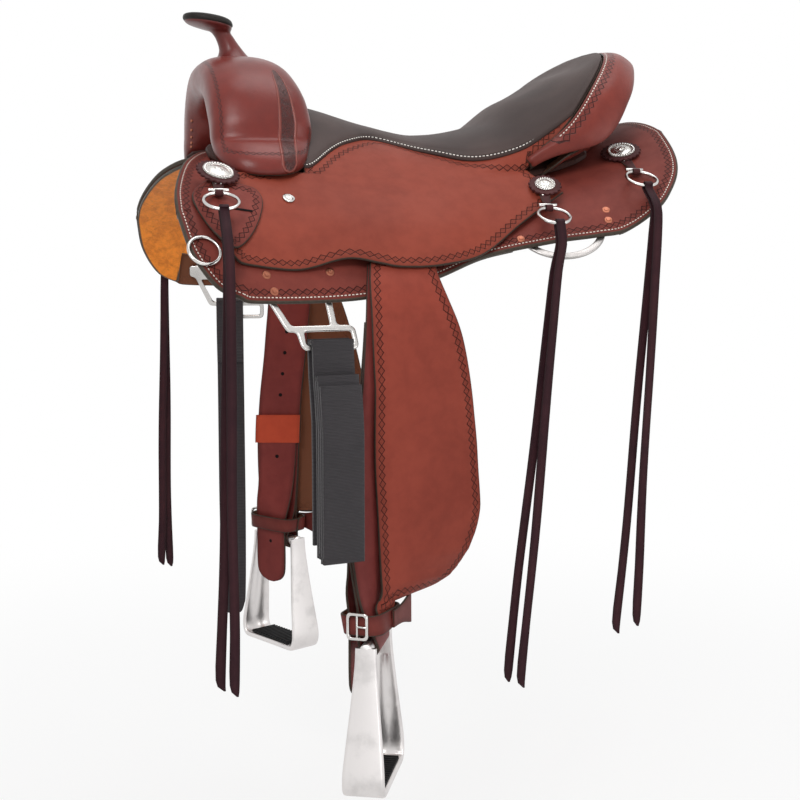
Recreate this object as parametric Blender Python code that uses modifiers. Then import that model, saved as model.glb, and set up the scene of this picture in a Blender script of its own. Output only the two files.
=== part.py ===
# Western trail saddle, built from its separate pieces.
# Metres, +Z up, -X towards the horse's head, -Y the near (left) side.
# The origin lies on the horse's back line, under the middle of the tree.
import bpy
import bmesh
from math import sin, cos, pi, sqrt, radians, atan2, hypot
from mathutils import Vector, Matrix

# Sizes.
BACK_R = 0.300             # radius of the horse's barrel under the skirts
BACK_TURN = radians(74)    # the side falls straight beyond this angle
RISE_REAR = 0.055          # rise of the back line at x = +0.3
RISE_FRONT = 0.020         # rise of the back line at x = -0.3
SHOULDER_FLARE = 0.022     # outward flare of the front corners

CUT_GAP = 0.0003           # clearance between fitted pieces
LAYER_GAP = 0.0009         # clearance between leather layers
LINING_T = 0.0040
SKIRT_OFF = LINING_T + 0.0014
SKIRT_T = 0.0065
SKIRT_TOP = SKIRT_OFF + SKIRT_T
OVER_SKIRT = SKIRT_TOP + LAYER_GAP
HANGER_T = 0.0035
SEAT_T = 0.0040
GROUND_T = 0.0025
COVER_T = 0.0040
PAD_GAP = 0.0016
BAR_TOP = 0.0288

RING_R = 0.0193            # centre line radius of the 42.5 mm string rings
RING_WIRE = 0.0020
RING_DIP = radians(28)
CLIP_IN = 0.0031
CLIP_OUT = 0.0043
CONCHO_BIG = 0.0180
CONCHO_SMALL = 0.0125
ROSETTE_BIG = 0.0255
ROSETTE_SMALL = 0.0205

STRAP_W = 0.032            # half width of the stirrup leather
STRAP_T = 0.0035
FENDER_T = 0.0040
STIRRUP_BAR = 0.0080       # radius of the stirrup's top bar
TREAD_T = 0.0080

SIDES = (("left", -1.0), ("right", 1.0))

for old in list(bpy.data.objects):
    bpy.data.objects.remove(old, do_unlink=True)

part_coll = bpy.data.collections.new("western_trail_saddle")
cut_coll = bpy.data.collections.new("cutters")
bpy.context.scene.collection.children.link(part_coll)
bpy.context.scene.collection.children.link(cut_coll)
cut_coll.hide_render = True

# Finishes.
CHESTNUT = ((0.215, 0.047, 0.027), 0.42, 0.0)
DARK_BROWN = ((0.060, 0.020, 0.016), 0.50, 0.0)
SUEDE_TAN = ((0.440, 0.165, 0.035), 0.90, 0.0)
BLACK_HIDE = ((0.020, 0.019, 0.020), 0.50, 0.0)
FLEECE = ((0.62, 0.56, 0.46), 0.95, 0.0)
WOOD = ((0.42, 0.28, 0.15), 0.65, 0.0)
STEEL = ((0.62, 0.61, 0.59), 0.28, 1.0)
SATIN = ((0.66, 0.66, 0.65), 0.32, 1.0)
NYLON = ((0.022, 0.019, 0.021), 0.78, 0.0)
RUBBER = ((0.018, 0.018, 0.018), 0.75, 0.0)


def finish(ob, look):
    mat = bpy.data.materials.new(ob.name + "_surface")
    mat.use_nodes = True
    shader = mat.node_tree.nodes["Principled BSDF"]
    shader.inputs["Base Color"].default_value = (*look[0], 1.0)
    shader.inputs["Roughness"].default_value = look[1]
    shader.inputs["Metallic"].default_value = look[2]
    ob.data.materials.clear()
    ob.data.materials.append(mat)


# Curves of the back.
def blend(a, b, t):
    return a + (b - a) * t


def smooth(t):
    t = min(max(t, 0.0), 1.0)
    return t * t * (3.0 - 2.0 * t)


def ridge(x):
    rise = RISE_REAR if x > 0 else RISE_FRONT
    return rise * (x / 0.3) ** 2


def flare(x, u):
    return SHOULDER_FLARE * smooth((-x - 0.14) / 0.2) * smooth((u - 0.1) / 0.15)


def barrel(x, u, off=0.0, side=1.0):
    """Point at girth distance u from the back line, off above the horse."""
    s = side if u >= 0 else -side
    a = abs(u)
    turn = min(a / BACK_R, BACK_TURN)
    rest = a - BACK_R * turn
    y = (BACK_R + off) * sin(turn) + rest * cos(turn) + flare(x, a)
    z = ridge(x) - BACK_R + (BACK_R + off) * cos(turn) - rest * sin(turn)
    return Vector((x, s * y, z))


def unbarrel(x, y, z):
    up = z - ridge(x) + BACK_R
    return BACK_R * atan2(abs(y), up), hypot(abs(y), up) - BACK_R


def barrel_frame(x, u, off, side):
    """Matrix with local X along x, local Y downhill, local Z outward."""
    o = barrel(x, u, off, side)
    down = (barrel(x, u + 0.002, off, side) - barrel(x, u - 0.002, off, side)).normalized()
    ex = (barrel(x + 0.002, u, off, side) - barrel(x - 0.002, u, off, side)).normalized()
    out = ex.cross(down).normalized()
    if out.z < 0 and abs(out.z) > 0.05 or out.y * side < -0.05:
        out = -out
    ex = down.cross(out).normalized()
    if ex.x < 0:
        ex = -ex
    m = Matrix((ex, down, out)).transposed().to_4x4()
    m.translation = o
    return m


def level_frame(x, u, off, side):
    """As barrel_frame, with its local X level as well as along the surface."""
    out = barrel_frame(x, u, off, side).to_3x3() @ Vector((0, 0, 1))
    ex = Vector((out.y, -out.x, 0)).normalized()
    if ex.x < 0:
        ex = -ex
    down = out.cross(ex)
    if down.z > 0:
        down = -down
    m = Matrix((ex, down, out)).transposed().to_4x4()
    m.translation = barrel(x, u, off, side)
    return m


def spline(points, count):
    """Catmull-Rom curve through the points, evenly sampled by point index."""
    pts = [Vector(p) for p in points]
    res = []
    n = len(pts) - 1
    for k in range(count):
        t = k / (count - 1) * n
        i = min(int(t), n - 1)
        f = t - i
        p1, p2 = pts[i], pts[i + 1]
        p0 = pts[i - 1] if i > 0 else p1 * 2 - p2
        p3 = pts[i + 2] if i + 2 <= n else p2 * 2 - p1
        res.append(0.5 * ((2 * p1) + (p2 - p0) * f + (2 * p0 - 5 * p1 + 4 * p2 - p3) * f * f
                          + (3 * p1 - p0 - 3 * p2 + p3) * f ** 3))
    return res


def table(points, smoothed=True):
    """Function of the first coordinate through the listed points."""
    pts = spline(points, 12 * len(points)) if smoothed else [Vector(p) for p in points]

    def value(t):
        if t <= pts[0][0]:
            return pts[0][1]
        for a, b in zip(pts, pts[1:]):
            if t <= b[0] and b[0] > a[0]:
                return a[1] + (b[1] - a[1]) * (t - a[0]) / (b[0] - a[0])
        return pts[-1][1]
    return value


# Solids.
def mesh_object(name, verts, faces, look, coll=None, keep=False):
    me = bpy.data.meshes.new(name)
    me.from_pydata([tuple(v) for v in verts], [], faces)
    if not keep:
        bm = bmesh.new()
        bm.from_mesh(me)
        bmesh.ops.remove_doubles(bm, verts=bm.verts, dist=0.00001)
        bmesh.ops.recalc_face_normals(bm, faces=bm.faces)
        bmesh.ops.triangulate(bm, faces=bm.faces)
        bm.to_mesh(me)
        bm.free()
    ob = bpy.data.objects.new(name, me)
    (coll or part_coll).objects.link(ob)
    finish(ob, look)
    return ob


def shade(ob, angle=40):
    for p in ob.data.polygons:
        p.use_smooth = True
    ob.data.set_sharp_from_angle(angle=radians(angle))


def sheet(name, grid, thick, look, split=False):
    """Open surface thickened outward; grid rows run so that normals face out."""
    rows, cols = len(grid), len(grid[0])
    verts = [p for row in grid for p in row]
    faces = []
    for i in range(rows - 1):
        for j in range(cols - 1):
            a = i * cols + j
            if split:
                faces.append((a, a + 1, a + cols + 1))
                faces.append((a, a + cols + 1, a + cols))
            else:
                faces.append((a, a + 1, a + cols + 1, a + cols))
    ob = mesh_object(name, verts, faces, look, keep=True)
    sol = ob.modifiers.new("thickness", "SOLIDIFY")
    sol.thickness = thick
    sol.offset = 1.0
    sol.use_even_offset = not split
    shade(ob)
    return ob


def loft(name, rings, look, coll=None, caps=True, smooth_deg=40):
    """Closed skin through rings of equal point count."""
    n = len(rings[0])
    verts = [p for r in rings for p in r]
    faces = []
    for i in range(len(rings) - 1):
        for j in range(n):
            k = (j + 1) % n
            faces.append((i * n + j, i * n + k, (i + 1) * n + k, (i + 1) * n + j))
    if caps:
        faces.append(tuple(range(n)))
        last = (len(rings) - 1) * n
        faces.append(tuple(last + j for j in range(n)))
    else:
        last = (len(rings) - 1) * n
        for j in range(n):
            k = (j + 1) % n
            faces.append((j, k, last + k, last + j))
    ob = mesh_object(name, verts, faces, look, coll)
    shade(ob, smooth_deg)
    return ob


def sleeve(name, inner, outer, look):
    """Tube wall between two families of rings, closed at both ends."""
    return loft(name, list(inner) + list(reversed(outer)), look, caps=False)


def ribbon(name, stations, look, coll=None):
    """Strap through stations (centre, half width vector, half thickness vector)."""
    rings = []
    for c, w, t in stations:
        rings.append([c - w - t, c + w - t, c + w + t, c - w + t])
    return loft(name, rings, look, coll, smooth_deg=50)


def plate(name, outline, holes, thick, matrix, look, coll=None):
    """Flat outline with holes, filled both sides; its underside lies at local z = 0."""
    cu = bpy.data.curves.new(name, "CURVE")
    cu.dimensions = "2D"
    cu.fill_mode = "BOTH"
    cu.extrude = thick / 2
    cu.resolution_u = 1
    for loop in [outline] + list(holes):
        sp = cu.splines.new("POLY")
        sp.points.add(len(loop) - 1)
        for p, q in zip(sp.points, loop):
            p.co = (q[0], q[1], 0.0, 1.0)
        sp.use_cyclic_u = True
    tmp = bpy.data.objects.new(name + "_outline", cu)
    bpy.context.scene.collection.objects.link(tmp)
    deps = bpy.context.evaluated_depsgraph_get()
    me = bpy.data.meshes.new_from_object(tmp.evaluated_get(deps))
    bpy.data.objects.remove(tmp, do_unlink=True)
    me.name = name
    me.transform(Matrix.Translation((0, 0, thick / 2)))
    me.transform(matrix)
    bm = bmesh.new()
    bm.from_mesh(me)
    bmesh.ops.remove_doubles(bm, verts=bm.verts, dist=0.00001)
    bmesh.ops.recalc_face_normals(bm, faces=bm.faces)
    bm.to_mesh(me)
    bm.free()
    ob = bpy.data.objects.new(name, me)
    (coll or part_coll).objects.link(ob)
    finish(ob, look)
    shade(ob, 35)
    return ob


def rounded(points, r, n=3):
    """Polygon with its corners rounded to radius about r."""
    out = []
    m = len(points)
    for i in range(m):
        p = Vector(points[i])
        a = Vector(points[i - 1]) - p
        b = Vector(points[(i + 1) % m]) - p
        ra = min(r, a.length * 0.45)
        rb = min(r, b.length * 0.45)
        pa = p + a.normalized() * ra
        pb = p + b.normalized() * rb
        for k in range(n + 1):
            t = k / n
            out.append(pa * (1 - t) ** 2 + p * 2 * t * (1 - t) + pb * t * t)
    return out


def rod(name, a, b, r, look, n=10, coll=None):
    """Round bar from a to b."""
    d = (b - a).normalized()
    s = d.orthogonal().normalized()
    t = d.cross(s)
    rings = []
    for c in (a, b):
        rings.append([c + s * r * cos(2 * pi * k / n) + t * r * sin(2 * pi * k / n) for k in range(n)])
    return loft(name, rings, look, coll)


def torus(name, centre, ex, ey, big, small, n, m, look):
    """Round wire ring in the plane of ex and ey."""
    ez = ex.cross(ey)
    verts = []
    faces = []
    for i in range(n):
        a = 2 * pi * i / n
        d = ex * cos(a) + ey * sin(a)
        for j in range(m):
            b = 2 * pi * (j + 0.5) / m
            verts.append(centre + d * (big + small * cos(b)) + ez * small * sin(b))
    for i in range(n):
        for j in range(m):
            p, q = (i + 1) % n, (j + 1) % m
            faces.append((i * m + j, p * m + j, p * m + q, i * m + q))
    ob = mesh_object(name, verts, faces, look)
    shade(ob, 80)
    return ob


def turned(name, profile, steps, matrix, look, coll=None):
    """Profile (r, z) turned about local Z with the Screw tool."""
    me = bpy.data.meshes.new(name)
    me.from_pydata([(r, 0.0, z) for r, z in profile], [(i, i + 1) for i in range(len(profile) - 1)], [])
    tmp = bpy.data.objects.new(name + "_profile", me)
    bpy.context.scene.collection.objects.link(tmp)
    scr = tmp.modifiers.new("turn", "SCREW")
    scr.axis = "Z"
    scr.steps = steps
    scr.render_steps = steps
    scr.use_merge_vertices = True
    scr.merge_threshold = 0.0001
    deps = bpy.context.evaluated_depsgraph_get()
    solid = bpy.data.meshes.new_from_object(tmp.evaluated_get(deps))
    bpy.data.objects.remove(tmp, do_unlink=True)
    bm = bmesh.new()
    solid.transform(matrix)
    bm.from_mesh(solid)
    bmesh.ops.remove_doubles(bm, verts=bm.verts, dist=0.00005)
    bmesh.ops.recalc_face_normals(bm, faces=bm.faces)
    bm.to_mesh(solid)
    bm.free()
    solid.name = name
    ob = bpy.data.objects.new(name, solid)
    (coll or part_coll).objects.link(ob)
    finish(ob, look)
    shade(ob, 35)
    return ob


def boolean(ob, tool, kind):
    """EXACT Boolean with a tool kept in the cutters collection."""
    if tool.name in part_coll.objects:
        part_coll.objects.unlink(tool)
        cut_coll.objects.link(tool)
    tool.hide_render = True
    tool.display_type = "WIRE"
    mod = ob.modifiers.new(kind.lower() + "_" + tool.name, "BOOLEAN")
    mod.operation = kind
    mod.solver = "EXACT"
    mod.object = tool
    return ob


def pivot(ob, point):
    """Moves the object's origin to a joint axis, geometry staying in place."""
    ob.data.transform(Matrix.Translation(-Vector(point)))
    ob.location = point
    return ob


# Skirts and linings.
lower_edge = table([(-0.3255, 0.235), (-0.315, 0.288), (-0.292, 0.326), (-0.265, 0.338), (-0.241, 0.341),
                    (-0.114, 0.327), (-0.03, 0.300), (0.04, 0.271), (0.12, 0.262), (0.18, 0.266),
                    (0.215, 0.269), (0.256, 0.256), (0.285, 0.236), (0.311, 0.195), (0.3235, 0.115)])
upper_edge = table([(-0.3255, 0.235), (-0.323, 0.201), (-0.311, 0.155), (-0.297, 0.118), (-0.272, 0.075),
                    (-0.235, 0.052), (-0.15, 0.045), (0.0, 0.045), (0.12, 0.045), (0.20, 0.034),
                    (0.25, 0.0075), (0.285, 0.0060), (0.308, 0.022), (0.318, 0.058), (0.3235, 0.115)])
MID_X = -0.001
HALF_X = 0.3245
NOTCHES = ((-0.2600, -0.1190, 0.286), (0.0780, 0.2040, 0.224))

skirt_columns = [MID_X - HALF_X * cos(pi * k / 18) for k in range(19)]
skirt_columns += [-0.2475, -0.2450, -0.2425, -0.1190, -0.1165, 0.0755, 0.0780, 0.2040, 0.2065]
skirt_columns = sorted(skirt_columns)
skirt_columns = [x for i, x in enumerate(skirt_columns)
                 if i in (0, len(skirt_columns) - 1) or x - skirt_columns[i - 1] > 0.0012]


def lining_edge(x):
    u = lower_edge(x) - 0.0025
    for x0, x1, top in NOTCHES:
        if x0 <= x <= x1:
            u = min(u, top)
    return u


def skirt_grid(off, side, edge, inset, rows):
    grid = []
    for x in skirt_columns:
        xi = MID_X + (x - MID_X) * (1.0 - inset / HALF_X)
        top = upper_edge(x) + inset * 0.5
        low = max(edge(x), top + 0.004)
        mid = (top + low) / 2
        if x <= skirt_columns[0] + 1e-6 or x >= skirt_columns[-1] - 1e-6:
            top, low = mid - 0.012, mid + 0.012
        row = [barrel(xi, top + (low - top) * k / rows, off, side) for k in range(rows + 1)]
        if side > 0:
            row = row[::-1]
        grid.append(row)
    return grid


for label, side in SIDES:
    sheet("skirt_" + label, skirt_grid(SKIRT_OFF, side, lower_edge, 0.0, 7), SKIRT_T, CHESTNUT)
    sheet("lining_" + label, skirt_grid(0.0, side, lining_edge, 0.0025, 6), LINING_T, SUEDE_TAN)

# Tree.
def bar_ring(x, side):
    t = (x + 0.0275) / 0.2425
    full = sqrt(max(1.0 - abs(t) ** 5, 0.0))
    half_u = 0.016 + 0.039 * full
    half_h = (BAR_TOP - OVER_SKIRT) / 2 * (0.45 + 0.55 * full)
    mid = OVER_SKIRT + half_h
    ring = []
    for k in range(12):
        a = 2 * pi * k / 12
        ca, sa = cos(a), sin(a)
        du = half_u * (abs(ca) ** 0.7) * (1 if ca > 0 else -1)
        dh = half_h * (abs(sa) ** 0.8) * (1 if sa > 0 else -1)
        ring.append(barrel(x, 0.100 + du, mid + dh, side))
    return ring


for label, side in SIDES:
    stations = [-0.0275 - 0.2425 * cos(pi * k / 14) for k in range(15)]
    loft("tree_bar_" + label, [bar_ring(x, side) for x in stations], WOOD, smooth_deg=60)

SWELL_OUT = [(0.0, 0.1335), (0.045, 0.132), (0.09, 0.119), (0.128, 0.091), (0.1460, 0.057),
             (0.1500, 0.033), (0.1540, 0.004)]
SWELL_IN = [(0.0, 0.0875), (0.035, 0.085), (0.065, 0.071), (0.083, 0.049), (0.0930, 0.036),
            (0.1000, 0.029), (0.1136, 0.0219)]
SWELL_X = [(-0.279, -0.176), (-0.280, -0.174), (-0.284, -0.166), (-0.288, -0.157), (-0.287, -0.153),
           (-0.282, -0.154), (-0.276, -0.163)]
COVER_GAP = 0.0009
swell_n = 7
out_line = spline(SWELL_OUT, swell_n)
in_line = spline(SWELL_IN, swell_n)
x_line = spline(SWELL_X, swell_n)


def swell_ring(k, side, grow, lip=None):
    """Rounded cross-section of the arch at station k, grown outward by grow."""
    o = Vector((0, out_line[k].x * side, out_line[k].y))
    i = Vector((0, in_line[k].x * side, in_line[k].y))
    spread = Vector((0, lip[0] * side, lip[1])) - o if lip is not None else Vector((0, 0, 0))
    x0, x1 = x_line[k].x, x_line[k].y
    centre = (o + i) / 2 + Vector(((x0 + x1) / 2, 0, 0))
    half = (o - i) / 2
    half = half * (1 + grow / half.length)
    hx = (x1 - x0) / 2 + grow
    ring = []
    for j in range(16):
        a = 2 * pi * (j + 0.5) / 16
        ca, sa = cos(a), sin(a)
        ring.append(centre + Vector((hx * abs(ca) ** 0.72 * (1 if ca > 0 else -1), 0, 0))
                    + half * abs(sa) ** 0.72 * (1 if sa > 0 else -1) + spread * max(sa, 0.0) ** 0.72)
    return ring


def arch(grow, lips=()):
    rings = []
    for lip in reversed(lips):
        rings.append(swell_ring(swell_n - 1, -1.0, grow, lip))
    for k in range(swell_n - 1, 0, -1):
        if not (lips and k == swell_n - 1):
            rings.append(swell_ring(k, -1.0, grow))
    for k in range(0, swell_n):
        if not (lips and k == swell_n - 1):
            rings.append(swell_ring(k, 1.0, grow))
    for lip in lips:
        rings.append(swell_ring(swell_n - 1, 1.0, grow, lip))
    return rings


fork_rings = arch(-0.0010)
fork_rings[0] = [blend(p, fork_rings[1][j], 0.14) for j, p in enumerate(fork_rings[0])]
fork_rings[-1] = [blend(p, fork_rings[-2][j], 0.14) for j, p in enumerate(fork_rings[-1])]
loft("tree_fork", fork_rings, WOOD, smooth_deg=60)
cover_outer = arch(COVER_GAP + COVER_T, lips=((0.1665, 0.0065), (0.1875, -0.0085), (0.1870, -0.0135)))
sleeve("swell_cover", arch(COVER_GAP), cover_outer, CHESTNUT)


def deepened(rings, drop):
    """Adds a ring at each end, moved towards the horse."""
    first = [p + Vector((0, 0.41, -0.91)) * drop for p in rings[0]]
    last = [p + Vector((0, -0.41, -0.91)) * drop for p in rings[-1]]
    return [first] + rings + [last]


swell_cutter = loft("swell_space",
                    deepened(arch(COVER_GAP + COVER_T + 0.0008,
                                  lips=((0.1680, 0.0075), (0.1895, -0.0085), (0.1885, -0.0160))), 0.014),
                    WOOD, coll=cut_coll)

HORN = [(-0.2205, 0.1386, 0.0245, 0), (-0.2212, 0.1430, 0.0195, 0), (-0.2235, 0.1500, 0.0145, 0),
        (-0.2280, 0.1590, 0.0122, 2), (-0.2325, 0.1665, 0.0118, 4), (-0.2380, 0.1712, 0.0140, 7),
        (-0.2460, 0.1752, 0.0225, 7), (-0.2505, 0.1782, 0.0287, 7), (-0.2518, 0.1820, 0.0308, 7),
        (-0.2524, 0.1862, 0.0306, 7), (-0.2526, 0.1892, 0.0282, 7), (-0.2524, 0.1900, 0.0240, 7)]
horn_rings = []
for cx, cz, r, tilt in HORN:
    ex = Vector((cos(radians(tilt)), 0, -sin(radians(tilt))))
    horn_rings.append([Vector((cx, 0, cz)) + ex * r * cos(2 * pi * k / 20)
                       + Vector((0, r * sin(2 * pi * k / 20), 0)) for k in range(20)])
loft("horn", horn_rings, BLACK_HIDE, smooth_deg=50)

# Seat.
RIM = [(0.2650, 0.0, 0.1580), (0.2590, 0.060, 0.1540), (0.2380, 0.115, 0.1370), (0.2050, 0.1530, 0.1000),
       (0.1650, 0.1680, 0.0500), (0.1150, 0.1570, 0.0030)]
rim_u = [(unbarrel(x, y, z)[0], x) for x, y, z in RIM]
rim_o = [(unbarrel(x, y, z)[0], unbarrel(x, y, z)[1]) for x, y, z in RIM]
rim_x = table(rim_u + [(0.162, 0.1200), (0.176, 0.1300)], False)
rim_off = table(rim_o, False)
DISH_START = 0.030


def plateau(t):
    return 1.0 - smooth((abs(t) - 0.35) / 0.65)


def seat_base(x, u):
    a = abs(u)
    off = 0.0168 + 0.0245 * (1.0 - smooth((a - 0.05) / 0.25))
    off += 0.0105 * plateau((x + 0.070) / 0.135) * smooth((a - 0.17) / 0.08)
    off += 0.022 * smooth((-x - 0.03) / 0.12) * (1.0 - smooth(a / 0.13))
    return off


def seat_off(x, u):
    """Height of the seat's upper face, with the cantle dish."""
    a = abs(u)
    base = seat_base(x, u)
    if a > 0.1495 or x < DISH_START:
        return base
    xr = rim_x(a)
    t = min((x - DISH_START) / max(xr - DISH_START, 0.01), 1.08)
    rise = max(rim_off(a) - seat_base(xr, u), 0.0)
    return base + rise * t ** 1.75


jockey_edge = table([(-0.281, 0.296), (-0.250, 0.3005), (-0.193, 0.301), (-0.139, 0.288), (-0.100, 0.2925),
                     (-0.076, 0.296), (-0.027, 0.293), (0.024, 0.278), (0.083, 0.238), (0.120, 0.216),
                     (0.150, 0.200)])
INNER_ROWS = [0.0, 0.030, 0.058, 0.084, 0.106, 0.124, 0.138, 0.149, 0.162]
OUTER_ROWS = [0.0, 0.20, 0.42, 0.64, 0.84, 1.0]
SEAT_COLS = 14


def seat_rows(down):
    """Rows of (x, u) from the centre line outward on one side."""
    rows = []
    for u in INNER_ROWS:
        rows.append([(blend(-0.166, rim_x(u), k / (SEAT_COLS - 1)), u) for k in range(SEAT_COLS)])
    if down:
        for f in OUTER_ROWS:
            row = []
            for k in range(SEAT_COLS):
                x = blend(-0.2790 + 0.004 * f, 0.130 + 0.020 * f, k / (SEAT_COLS - 1))
                row.append((x, blend(0.176, jockey_edge(x) - (0.018 if k == 0 and f == 1.0 else 0.0), f)))
            rows.append(row)
    return rows


def seat_grid(drop, down):
    half = seat_rows(down)
    full = [[(x, -u) for x, u in row] for row in reversed(half[1:])] + half
    return [[barrel(x, u, seat_off(x, u) - drop) for x, u in row] for row in full]


seat_leather = sheet("seat_leather", seat_grid(SEAT_T, True), SEAT_T, CHESTNUT, split=True)
boolean(seat_leather, swell_cutter, "DIFFERENCE")
ground_rows = seat_grid(SEAT_T + LAYER_GAP + GROUND_T, False)[3:-3]
ground_seat = sheet("ground_seat", [r[:9] for r in ground_rows], GROUND_T, STEEL, split=True)
boolean(ground_seat, swell_cutter, "DIFFERENCE")

PAD_EDGE = table([(-0.170, 0.154), (-0.156, 0.150), (-0.130, 0.113), (-0.106, 0.088), (-0.073, 0.066),
                  (-0.033, 0.100), (0.009, 0.130), (0.056, 0.1400), (0.089, 0.1370), (0.112, 0.1340)])
PAD_ROWS = [-1.0, -0.965, -0.86, -0.70, -0.52, -0.35, -0.17, 0.0, 0.17, 0.35, 0.52, 0.70, 0.86, 0.965, 1.0]
PAD_COLS = 17


def pad_point(f, s, top):
    width = PAD_EDGE(blend(-0.168, 0.112, s))
    u = width * f
    end = rim_x(abs(0.1340 * f)) - 0.0045
    x = blend(-0.168, end, s)
    lift = PAD_GAP + 0.0032 * smooth((s - 0.35) / 0.25)
    if top:
        edge = min(1.0, (1.0 - abs(f)) / 0.20)
        edge = min(edge, (1.0 - s) / 0.10)
        crown = 0.0085 * (1.0 - abs(f) ** 2.5) * (1.0 - smooth((s - 0.45) / 0.45))
        shoulder = 0.0028 + 0.0025 * smooth((s - 0.40) / 0.30)
        lift += 0.0022 + shoulder * sqrt(max(edge * (2.0 - edge), 0.0)) + crown
    return barrel(x, u, seat_off(x, u) + lift)


def pad_solid():
    cols = [k / (PAD_COLS - 1) for k in range(PAD_COLS)]
    cols[-2] = 0.965
    bottom = [[pad_point(f, s, False) for s in cols] for f in PAD_ROWS]
    top = [[pad_point(f, s, True) for s in cols] for f in PAD_ROWS]
    nr, nc = len(PAD_ROWS), len(cols)
    verts = [p for row in bottom for p in row] + [p for row in top for p in row]
    faces = []
    for i in range(nr - 1):
        for j in range(nc - 1):
            a = i * nc + j
            faces.append((a, a + 1, a + nc + 1, a + nc))
            b = a + nr * nc
            faces.append((b, b + nc, b + nc + 1, b + 1))
    border = [j for j in range(nc)] + [i * nc + nc - 1 for i in range(1, nr)]
    border += [(nr - 1) * nc + j for j in range(nc - 2, -1, -1)] + [i * nc for i in range(nr - 2, 0, -1)]
    for a, b in zip(border, border[1:] + border[:1]):
        faces.append((a, b, b + nr * nc, a + nr * nc))
    ob = mesh_object("seat_pad", verts, faces, BLACK_HIDE)
    shade(ob, 50)
    return ob


seat_pad = pad_solid()
boolean(seat_pad, swell_cutter, "DIFFERENCE")

# Cantle.
BACK_LINE = [(0.2560, 0.0), (0.2520, 0.045), (0.2340, 0.085), (0.2050, 0.112), (0.1720, 0.130),
             (0.1300, 0.140)]
back_x = table([(u, x) for x, u in BACK_LINE], False)
wedge_rings = []
for u in (-0.119, -0.111, -0.095, -0.072, -0.045, -0.015, 0.015, 0.045, 0.072, 0.095, 0.111, 0.119):
    a = abs(u)
    xr = rim_x(a)
    shape = []
    for t in (0.47, 0.62, 0.78, 0.94):
        x = DISH_START + (xr - DISH_START) * t
        shape.append(barrel(x, u, max(seat_off(x, u) - 0.0058, 0.034)))
    shape.append(barrel(xr - 0.001, u, max(rim_off(a) - 0.018, 0.0325)))
    shape.append(barrel(back_x(a) - 0.012, u, 0.0312))
    x = DISH_START + (xr - DISH_START) * 0.44
    shape.append(barrel(x, u, 0.0312))
    wedge_rings.append(shape)
loft("tree_cantle", wedge_rings, WOOD, smooth_deg=30)

ROLL_EDGE = [(0.3060, 0.0, 0.1490), (0.3020, 0.055, 0.1440), (0.2840, 0.108, 0.1270),
             (0.2560, 0.1560, 0.0900), (0.2150, 0.1740, 0.0360), (0.1340, 0.1690, -0.0010)]
half_in = spline(RIM, 11)
half_out = spline(ROLL_EDGE, 11)


def mirrored(points):
    return [Vector((p.x, -p.y, p.z)) for p in reversed(points[1:])] + list(points)


roll_in = mirrored(half_in)
roll_out = mirrored(half_out)
roll_grid = []
for i, (a, b) in enumerate(zip(roll_in, roll_out)):
    row = []
    from_end = min(i, len(roll_in) - 1 - i)
    raised = (0.0115, 0.0065, 0.0025)[from_end] if from_end < 3 else 0.0
    away = (b - a).normalized()
    lift = Vector((0.25, 0, 1.0)) if abs(a.y) < 0.08 else Vector((0.15, 0.6 * (1 if a.y > 0 else -1), 0.7))
    lift = (lift - away * lift.dot(away)).normalized()
    for f, h in ((0.0, 0.0), (0.12, 0.0016), (0.5, 0.0045), (0.88, 0.0015), (1.0, -0.002)):
        row.append(a + away * 0.0024 + (b - a) * f * 0.97 + lift * (h - 0.0030 + raised))
    roll_grid.append(row)
cantle_roll = sheet("cantle_roll", roll_grid, 0.0045, CHESTNUT)

back_grid = []
for a, b in zip(roll_in, roll_out):
    top = a + (b - a) * 0.62 - Vector((0, 0, 0.0040)) - (b - a).normalized() * 0.001
    u_in = unbarrel(a.x, a.y, a.z)[0] * (1 if a.y > 0 else -1)
    u_low = max(min(u_in, 0.140), -0.140)
    bottom = barrel(back_x(abs(u_low)) + 0.001, u_low, 0.0345)
    back_grid.append([top + (bottom - top) * k / 4 for k in range(5)])
back_grid = back_grid[2:-2]
sheet("cantle_back", back_grid, 0.0035, CHESTNUT)

# Stirrup leather hanger.
for label, side in SIDES:
    grid = []
    for k in range(5):
        x = -0.112 + 0.064 * k / 4
        row = [barrel(x, 0.160 + 0.108 * j / 6, OVER_SKIRT, side) for j in range(7)]
        grid.append(row if side < 0 else row[::-1])
    sheet("stirrup_hanger_" + label, grid, HANGER_T, DARK_BROWN)

# Latigo holder, near side.
def holder_off(x, u):
    return blend(0.0135, seat_base(max(x, -0.279), u) + 0.0012, smooth((x + 0.303) / 0.020))


HOLDER_TOP = 0.197
HOLDER_TALL = 0.087
HOLDER = [(-0.250, 0.0), (-0.233, 0.004), (-0.226, 0.019), (-0.232, 0.043), (-0.247, 0.071),
          (-0.266, HOLDER_TALL), (-0.286, 0.073), (-0.300, 0.043),
          (-0.306, 0.021), (-0.300, 0.005), (-0.280, 0.0)]
loop = [p + Vector((0, HOLDER_TOP, 0)) for p in spline([(x, d, 0) for x, d in HOLDER + HOLDER[:1]], 25)[:-1]]
top_u, low_u = HOLDER_TOP, HOLDER_TOP + HOLDER_TALL
holder_grid = []
for k in range(9):
    u = top_u + (low_u - top_u) * (1 - cos(pi * k / 8)) / 2
    uu = min(max(u, top_u + 0.0004), low_u - 0.0004)
    xs = []
    for a, b in zip(loop, loop[1:] + loop[:1]):
        if (a.y - uu) * (b.y - uu) <= 0 and a.y != b.y:
            xs.append(a.x + (b.x - a.x) * (uu - a.y) / (b.y - a.y))
    x0, x1 = min(xs), max(xs)
    spots = [blend(x0, x1, j / 5) for j in range(6)]
    holder_grid.append([barrel(x, uu, holder_off(x, uu), -1.0) for x in spots])
holder = sheet("latigo_holder", [r[::-1] for r in holder_grid], 0.0035, CHESTNUT)
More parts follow.
